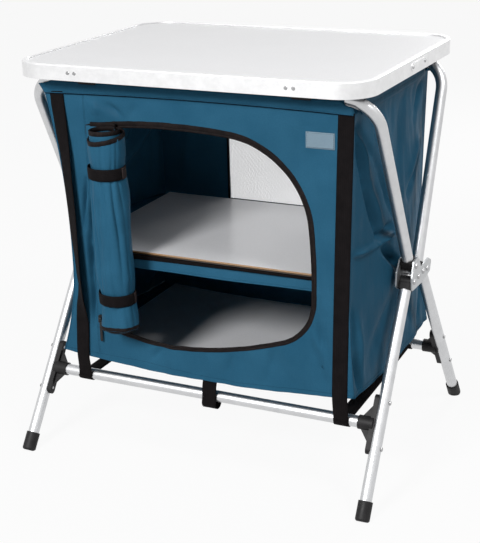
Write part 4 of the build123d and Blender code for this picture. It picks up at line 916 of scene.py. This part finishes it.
# The centre strap: down in front of the front crossbar, round under it with some slack, and up behind it
CENTRE_X, CENTRE_RISE, SLACK = 10.0, 31.0, 12.0
bar_front = CROSSBAR_Y[-1] + TUBE_R + STRAP_GAP
hang = [(CENTRE_X + 1 + 2.5 * t, -(bar_front + 1.6 * sin(pi * t)), CROSSBAR_Z + CENTRE_RISE * t)
        for t in np.linspace(1, 0, 14)]
across = [(1, 0, -0.06)] * len(hang)
hang += [(CENTRE_X + 1 - t, -(bar_front + 0.8 * t), CROSSBAR_Z - SLACK * t) for t in np.linspace(0, 1, 6)[1:]]
across += [(1, 0, -0.05)] * (len(hang) - len(across))
for a in np.linspace(0, pi, 22)[1:]:
    under = (TUBE_R + 0.8) * sin(a)
    hang.append((CENTRE_X, -(CROSSBAR_Y[-1] + (TUBE_R + 1.6) * cos(a)), CROSSBAR_Z - SLACK - under))
hang += [(CENTRE_X + t, TUBE_R + 1.4 - CROSSBAR_Y[-1], CROSSBAR_Z - SLACK * (1 - t))
         for t in np.linspace(0, 1, 8)[1:]]
across += [(1, 0, 0)] * (len(hang) - len(across))
shape = ribbon(hang, across, crown=0.3)
piece("centre_strap_webbing", shape, WEBBING, ["centre_strap"], "front_legs")

# Sleeves round the top bars, open where the clips sit, each with a flap down to the panel's seam
CLIP_X, CLIP_HALF = 184.0, 15.6
CLIP_FLAP_Z = 639.2
SLEEVE_END = 250.0
SLEEVE_R = TUBE_R + 1.5
SLEEVE_RUNS = ((-SLEEVE_END, -CLIP_X - CLIP_HALF), (-CLIP_X + CLIP_HALF, CLIP_X - CLIP_HALF),
               (CLIP_X + CLIP_HALF, SLEEVE_END))
BEND_START, BEND_R = 243.2, 52.0
ARM_PIVOTS = {-1: (24.5, 345.0), 1: (14.3, 324.0)}
ARM_LEAN = {facing: (BAR_Y - y) / (BAR_Z - z) for facing, (y, z) in ARM_PIVOTS.items()}
FLAP_HALF, FLAP_FOOT, FLAP_LIFT = CORNER_TOP - 0.6, 621.5, 4.5
# The photograph shows the front flap pulled out at its upper left corner: from where, how far out and up
PULL_X, PULL_OUT, PULL_UP = -230.0, 11.0, 5.0


def bar_drop(x):
    """How far the bar has dropped where it bends."""
    run = max(abs(x) - BEND_START, 0.0)
    return BEND_R - sqrt(BEND_R ** 2 - run ** 2)


def flap_seam(x):
    """The flap's lower seam rises a little towards the middle, where the panel is pulled up."""
    return FLAP_FOOT + FLAP_LIFT * (1 - (x / CORNER_TOP) ** 2)


def flap_cord(facing, inset, proud, rise, radius):
    """A cord along the flap's lower seam."""
    xs = np.linspace(inset - CORNER_TOP, CORNER_TOP - inset, 110)
    y = facing * (BAR_Y + SLEEVE_R + proud)
    return rod([(x, y, flap_seam(x) + rise) for x in xs], radius, (0, facing, 0))


for facing, name in FACINGS:
    shapes = []
    for low, high in SLEEVE_RUNS:
        def wrap(v, u):
            x = between(low, high, u)
            r = SLEEVE_R + 0.35 * sin(x / 13.0) + 0.3 * ripple(x, 90 * v, 18.0, 31.0)
            angle = radians(358 * v - 2)
            drop = bar_drop(x)
            y = BAR_Y - drop * ARM_LEAN[facing] + r * cos(angle)
            return x, facing * y, BAR_Z - drop + r * sin(angle)

        columns = max(int((high - low) / 6), 4)
        shapes.append(thick_grid(25, columns, wrap, flat_uv(470, 70), -facing * SLEEVE_CLOTH))

    def flap(v, u):
        x = FLAP_HALF * (2 * u - 1)
        low = flap_seam(x)
        high = BAR_Z - 1 - bar_drop(x) - 6 * smooth_step((abs(x) - BEND_START) / 12)
        if x < PULL_X and facing < 0:
            pull = (PULL_X - x) / (PULL_X + FLAP_HALF)
            x -= PULL_OUT * pull * v
            high += PULL_UP * pull
        if abs(abs(x) - CLIP_X) < CLIP_HALF:
            high = CLIP_FLAP_Z
        z = between(low, high, v)
        wave = 0.25 * sin(x / 17.0) * (1 - v) + 0.25 * ripple(x, z, 22.0, 33.0)
        return x, facing * (BAR_Y + SLEEVE_R - 0.1 + 0.9 * (1 - v) + wave), z

    shapes.append(thick_grid(9, 134, flap, flat_uv(532, 20), -facing * SLEEVE_CLOTH))
    shapes.append(flap_cord(facing, 1, 1.1, 0.4, 0.9))
    body = f"{name}_arms"
    sleeve = piece(f"{name}_sleeve_cloth", join(*shapes), BLUE, [f"{name}_sleeve"], body)
    # A dark cord just below the flap's lower seam: painted shade under the flap's edge
    piece(f"{name}_sleeve_seam_shade_line", flap_cord(facing, 3, 1.5, -0.5, 0.8), SEAM_SHADE, (), body)

# Floor and shelf cloth
FLOOR_Z, FLOOR_RISE = 162.5, 9.5
SLING_Z, SLING_FRONT, SLING_BACK = 356.2, -154.0, 169.2
SHELF_BAND_HALF = 232.0
# The shelf's front band: how far down it, its depth and its level
SHELF_BAND = [(0.0, -154.0, 357.2), (0.2, -158.0, 353.0), (0.34, -166.0, 350.5), (1.0, -169.0, 337.5)]
SHELF_BAND_V, SHELF_BAND_Y, SHELF_BAND_Z = zip(*SHELF_BAND)


def across_cabinet(y, z, u):
    """A place between the two side cloths, clear of their thickness."""
    return between(side_x(y, z, -1) + 1.2, side_x(y, z, 1) - 1.2, u)


def floor_place(v, u):
    y = (HALF_DEPTH - 2.2) * (2 * v - 1)
    x = across_cabinet(y, HEM_CORNER + 4, u)
    return x, y, FLOOR_Z + FLOOR_RISE * (x / CORNER_FOOT) ** 2 + 0.3 * ripple(x, y, 40.0, 41.0)


def sling_place(v, u):
    y = between(SLING_FRONT, SLING_BACK, v)
    return across_cabinet(y, SLING_Z, u), y, SLING_Z + 1.1 + 0.15 * ripple(u * 400, y, 40.0, 43.0)


def shelf_band(v, u):
    x = SHELF_BAND_HALF * (2 * u - 1)
    y = float(np.interp(v, SHELF_BAND_V, SHELF_BAND_Y)) - 0.9 * sin(x / 31.0) * v
    return x, y, float(np.interp(v, SHELF_BAND_V, SHELF_BAND_Z)) - 2.2 * sin(pi * u) * v


shape = thick_grid(30, 44, floor_place, flat_uv(540, 362), CLOTH)
floor_cloth = piece("floor_cloth", shape, BLUE, ["floor_panel"])

bound = [(x, -165.3 - 0.18 * sin(x / 31.0), 354.6 - 0.5 * cos(pi * x / (2 * SHELF_BAND_HALF)))
         for x in np.linspace(-SHELF_BAND_HALF, SHELF_BAND_HALF, 80)]
slack = [(x, -165.2, 354.0 - 5.4 * ((60 - x) / 292) ** 1.2) for x in np.linspace(-SHELF_BAND_HALF, 60, 50)]
shape = join(rod(bound, 2.6, (0, -1, 0), 8), rod(slack, 2.8, (0, -1, 0), 8))
piece("shelf_band_binding", shape, WEBBING)

hem = [(x, y - 0.6, z) for x, y, z in (shelf_band(1.0, u) for u in np.linspace(0, 1, 80))]
shape = join(thick_grid(24, 40, sling_place, flat_uv(540, 338), CLOTH),
             thick_grid(16, 60, shelf_band, flat_uv(480, 18), -CLOTH), rod(hem, 1.4, (0, -1, 0), 8))
sling = piece("shelf_sling_cloth", shape, BLUE, ["shelf_sling"])

# Seams, stitching and patch
# The front panel's lower seam, by x and level
LOWER_SEAM = [(-266, 176), (-191, 174), (-104, 173), (3, 164.5), (71, 165), (160, 170), (266, 176)]


def lower_seam_z(x):
    return float(np.interp(x, *zip(*LOWER_SEAM)))


def on_panel(facing, outline, proud=0.1):
    """Points a little proud of a panel's outer face."""
    return [(x, PANEL_Y[facing](x, z) + facing * proud, z) for x, z in outline]


cords = []
for side in (-1, 1):
    for facing in (-1, 1):
        path = [(side * (corner_x(z, side, facing) - 0.6), facing * (HALF_DEPTH - 0.2), z)
                for z in np.linspace(HEM_CORNER + 1, SEAM_Z - 2, 70)]
        cords.append(rod(path, 1.3, (side, facing, 0)))
for facing in (-1, 1):
    path = [(x, PANEL_Y[facing](x, hem_z(x)) - facing * 0.2, hem_z(x) + 0.8)
            for x in np.linspace(2 - CORNER_FOOT, CORNER_FOOT - 2, 90)]
    cords.append(rod(path, 1.1, (0, facing, 0)))
for side in (-1, 1):
    ys = np.linspace(FRONT_Y + 2, HALF_DEPTH - 2, 60)
    path = [(side_x(y, HEM_CORNER, side), y, HEM_CORNER + 0.6) for y in ys]
    cords.append(rod(path, 1.1, (side, 0, 0)))
piece("seam_piping", join(*cords), BLUE)

# Dark seam lines, painted shade of the seam grooves: two at the door's hinge side, and the front panel's
# lower seam
outlines = [[(x, z) for z in np.linspace(176.0, 626.0, 90)] for x in (DOOR_LEFT - 0.5, DOOR_LEFT - 2.6)]
outlines.append([(x, lower_seam_z(x)) for x in np.linspace(-264, 264, 120)])
lines = [rod(on_panel(-1, outline, 0.3), 0.6, (0, -1, 0), 5) for outline in outlines]
piece("panel_seam_shade_lines", join(*lines), SEAM_SHADE)

# Rows of stitches: two below the sleeves, one above each hem, one by the hinge seam and one round the door
TOP_ROW_Z, ROW_STEP, HEM_ROW, HINGE_ROW = 622.0, 3.0, 7.0, 5.4
xs = np.linspace(-262, 262, 120)
rows = []
for z in (TOP_ROW_Z, TOP_ROW_Z - ROW_STEP):
    rows += [stitches(on_panel(facing, [(x, z) for x in xs]), (0, facing, 0)) for facing in (-1, 1)]
rows.append(stitches(on_panel(-1, [(x, lower_seam_z(x) + 3) for x in xs]), (0, -1, 0)))
rows.append(stitches(on_panel(1, [(x, hem_z(x) + HEM_ROW) for x in xs]), (0, 1, 0)))
beside_hinge = [(DOOR_LEFT - HINGE_ROW, z) for z in np.linspace(HEM_CORNER + 10, SEAM_Z - 8, 110)]
rows.append(stitches(on_panel(-1, beside_hinge), (0, -1, 0)))
for side in (-1, 1):
    z = HEM_CORNER + HEM_ROW
    path = [(side_x(y, z, side) + side * 0.1, y, z) for y in np.linspace(-176, 176, 80)]
    rows.append(stitches(path, (side, 0, 0)))
round_door = door_path + door_out * (2.0 + 6.4 * wide)[:, None]
rows.append(stitches(on_panel(-1, [(x, z) for x, _, z in round_door]), (0, -1, 0)))
piece("panel_stitching", join(*rows), THREAD)

rows = []
for side in (-1, 1):
    ys = np.linspace(-150, 150, 70)
    path = [(side_x(y, SIDE_SEAM_Z, side) + side * 1.5, y, SIDE_SEAM_Z + 3) for y in ys]
    rows.append(stitches(path, (side, 0, 0)))
piece("band_stitching", join(*rows), THREAD)

PATCH_SEAM = ((-21.2, -10.8), (21.2, -10.8), (21.2, 10.8), (-21.2, 10.8), (-21.2, -10.8))


def patch_place(v, u):
    crown = 0.25 * sin(pi * u) * sin(pi * v)
    return PATCH_X + PATCH_WIDE * (u - 0.5), FRONT_Y - 0.9 - crown, PATCH_Z + PATCH_HIGH * (v - 0.5)


shape = thick_grid(10, 16, patch_place, flat_uv(PATCH_WIDE, PATCH_HIGH), PATCH_CLOTH)
piece("bare_patch_cloth", shape, PATCH, ["bare_patch"], "panel_trim")
path = []
for (ax, az), (bx, bz) in zip(PATCH_SEAM[:-1], PATCH_SEAM[1:]):
    path += [(PATCH_X + between(ax, bx, t), FRONT_Y - 1.0, PATCH_Z + between(az, bz, t))
             for t in np.linspace(0, 1, 12)[:-1]]
path.append(path[0])
piece("patch_stitching", stitches(path, (0, -1, 0), 3.2, 2.1, 0.22), THREAD, (), "panel_trim")


# Floor, light and camera
def unlit_rays(tree):
    """1 for the rays that see the plain background: the camera's, and those of gloss and glass."""
    rays = node(tree, "ShaderNodeLightPath").outputs
    mirrored = math_node(tree, "MAXIMUM", rays["Is Glossy Ray"], rays["Is Transmission Ray"])
    return math_node(tree, "MAXIMUM", rays["Is Camera Ray"], mirrored)


FLOOR_RADII, FLOOR_STEPS = (3.0, 30.0), 96
points = [(0.0, 0.0, 0.0)]
for radius in FLOOR_RADII:
    points += [(radius * cos(tau * k / FLOOR_STEPS), radius * sin(tau * k / FLOOR_STEPS), 0.0)
               for k in range(FLOOR_STEPS)]
inner = [1 + k for k in range(FLOOR_STEPS)] + [1]
faces = [(0, a, b) for a, b in zip(inner, inner[1:])]
faces += [(a, a + FLOOR_STEPS, b + FLOOR_STEPS, b) for a, b in zip(inner, inner[1:])]
ground = bpy.data.meshes.new("studio_floor")
ground.from_pydata(points, [], faces)
floor = bpy.data.objects.new("studio_floor", ground)
bpy.context.scene.collection.objects.link(floor)
floor_material, tree, bsdf, _ = new_material("studio_floor")
surface(tree, bsdf, (0.55, 0.55, 0.55), 0.9, specular=0.1)
glow = node(tree, "ShaderNodeEmission", {"Color": (1, 1, 1), "Strength": 1.0})
mix_shader(tree, math_node(tree, "MULTIPLY", unlit_rays(tree), 0.93), bsdf, glow, "Material Output")
ground.materials.append(floor_material)

world = bpy.data.worlds.new("studio")
bpy.context.scene.world = world
world.use_nodes = True
tree = world.node_tree
background = tree.nodes["Background"]
link(tree, (1, 1, 1), background.inputs["Color"])
link(tree, 0.13, background.inputs["Strength"])
white = node(tree, "ShaderNodeBackground", {"Color": (1, 1, 1), "Strength": 1.0})
mix_shader(tree, unlit_rays(tree), background, white, "World Output")


def area_light(name, place, target, size, power):
    light = bpy.data.lights.new(name, "AREA")
    light.shape = "DISK"
    light.size = size
    light.energy = power
    made = bpy.data.objects.new(name, light)
    made.location = place
    made.rotation_euler = (Vector(target) - Vector(place)).to_track_quat("-Z", "Y").to_euler()
    bpy.context.scene.collection.objects.link(made)


area_light("key", (-0.536, -3.04, 2.2), (0, 0, 0.35), 1.0, 120)
area_light("side", (1.9, -0.7, 2.75), (0, 0, 0.35), 0.9, 40)
area_light("back", (0.3, 2.6, 1.5), (0, 0, 0.45), 1.2, 34)

# The camera looks at a point above the floor's middle, moved in its own plane; the frame is taller than wide
CAMERA = {"azimuth": 25.76, "elevation": 19.54, "roll": -1.48, "distance": 2.15852, "shift_x": -0.0082,
          "shift_z": -0.10626, "focal_px": 1260.12}
LOOKS_AT = Vector((0, 0, 0.4))
SENSOR, FRAME_HEIGHT = 36.0, 543.0
azimuth, elevation, roll_angle = (radians(CAMERA[key]) for key in ("azimuth", "elevation", "roll"))
back_dir = Vector((sin(azimuth) * cos(elevation), -cos(azimuth) * cos(elevation),
                   sin(elevation)))
right_dir = (-back_dir).cross(Vector((0, 0, 1))).normalized()
up_dir = right_dir.cross(-back_dir)
right_rolled = cos(roll_angle) * right_dir + sin(roll_angle) * up_dir
up_rolled = -sin(roll_angle) * right_dir + cos(roll_angle) * up_dir
camera_data = bpy.data.cameras.new("camera")
camera_data.lens = CAMERA["focal_px"] * SENSOR / FRAME_HEIGHT
camera_data.sensor_width = SENSOR
camera_data.clip_end = 100
camera = bpy.data.objects.new("camera", camera_data)
position = LOOKS_AT + CAMERA["shift_x"] * right_rolled + CAMERA["shift_z"] * up_rolled
position += CAMERA["distance"] * back_dir
turn = Matrix((right_rolled, up_rolled, back_dir)).transposed()
camera.matrix_world = Matrix.Translation(position) @ turn.to_4x4()
bpy.context.scene.collection.objects.link(camera)
bpy.context.scene.camera = camera
bpy.context.scene.view_settings.view_transform = "Standard"
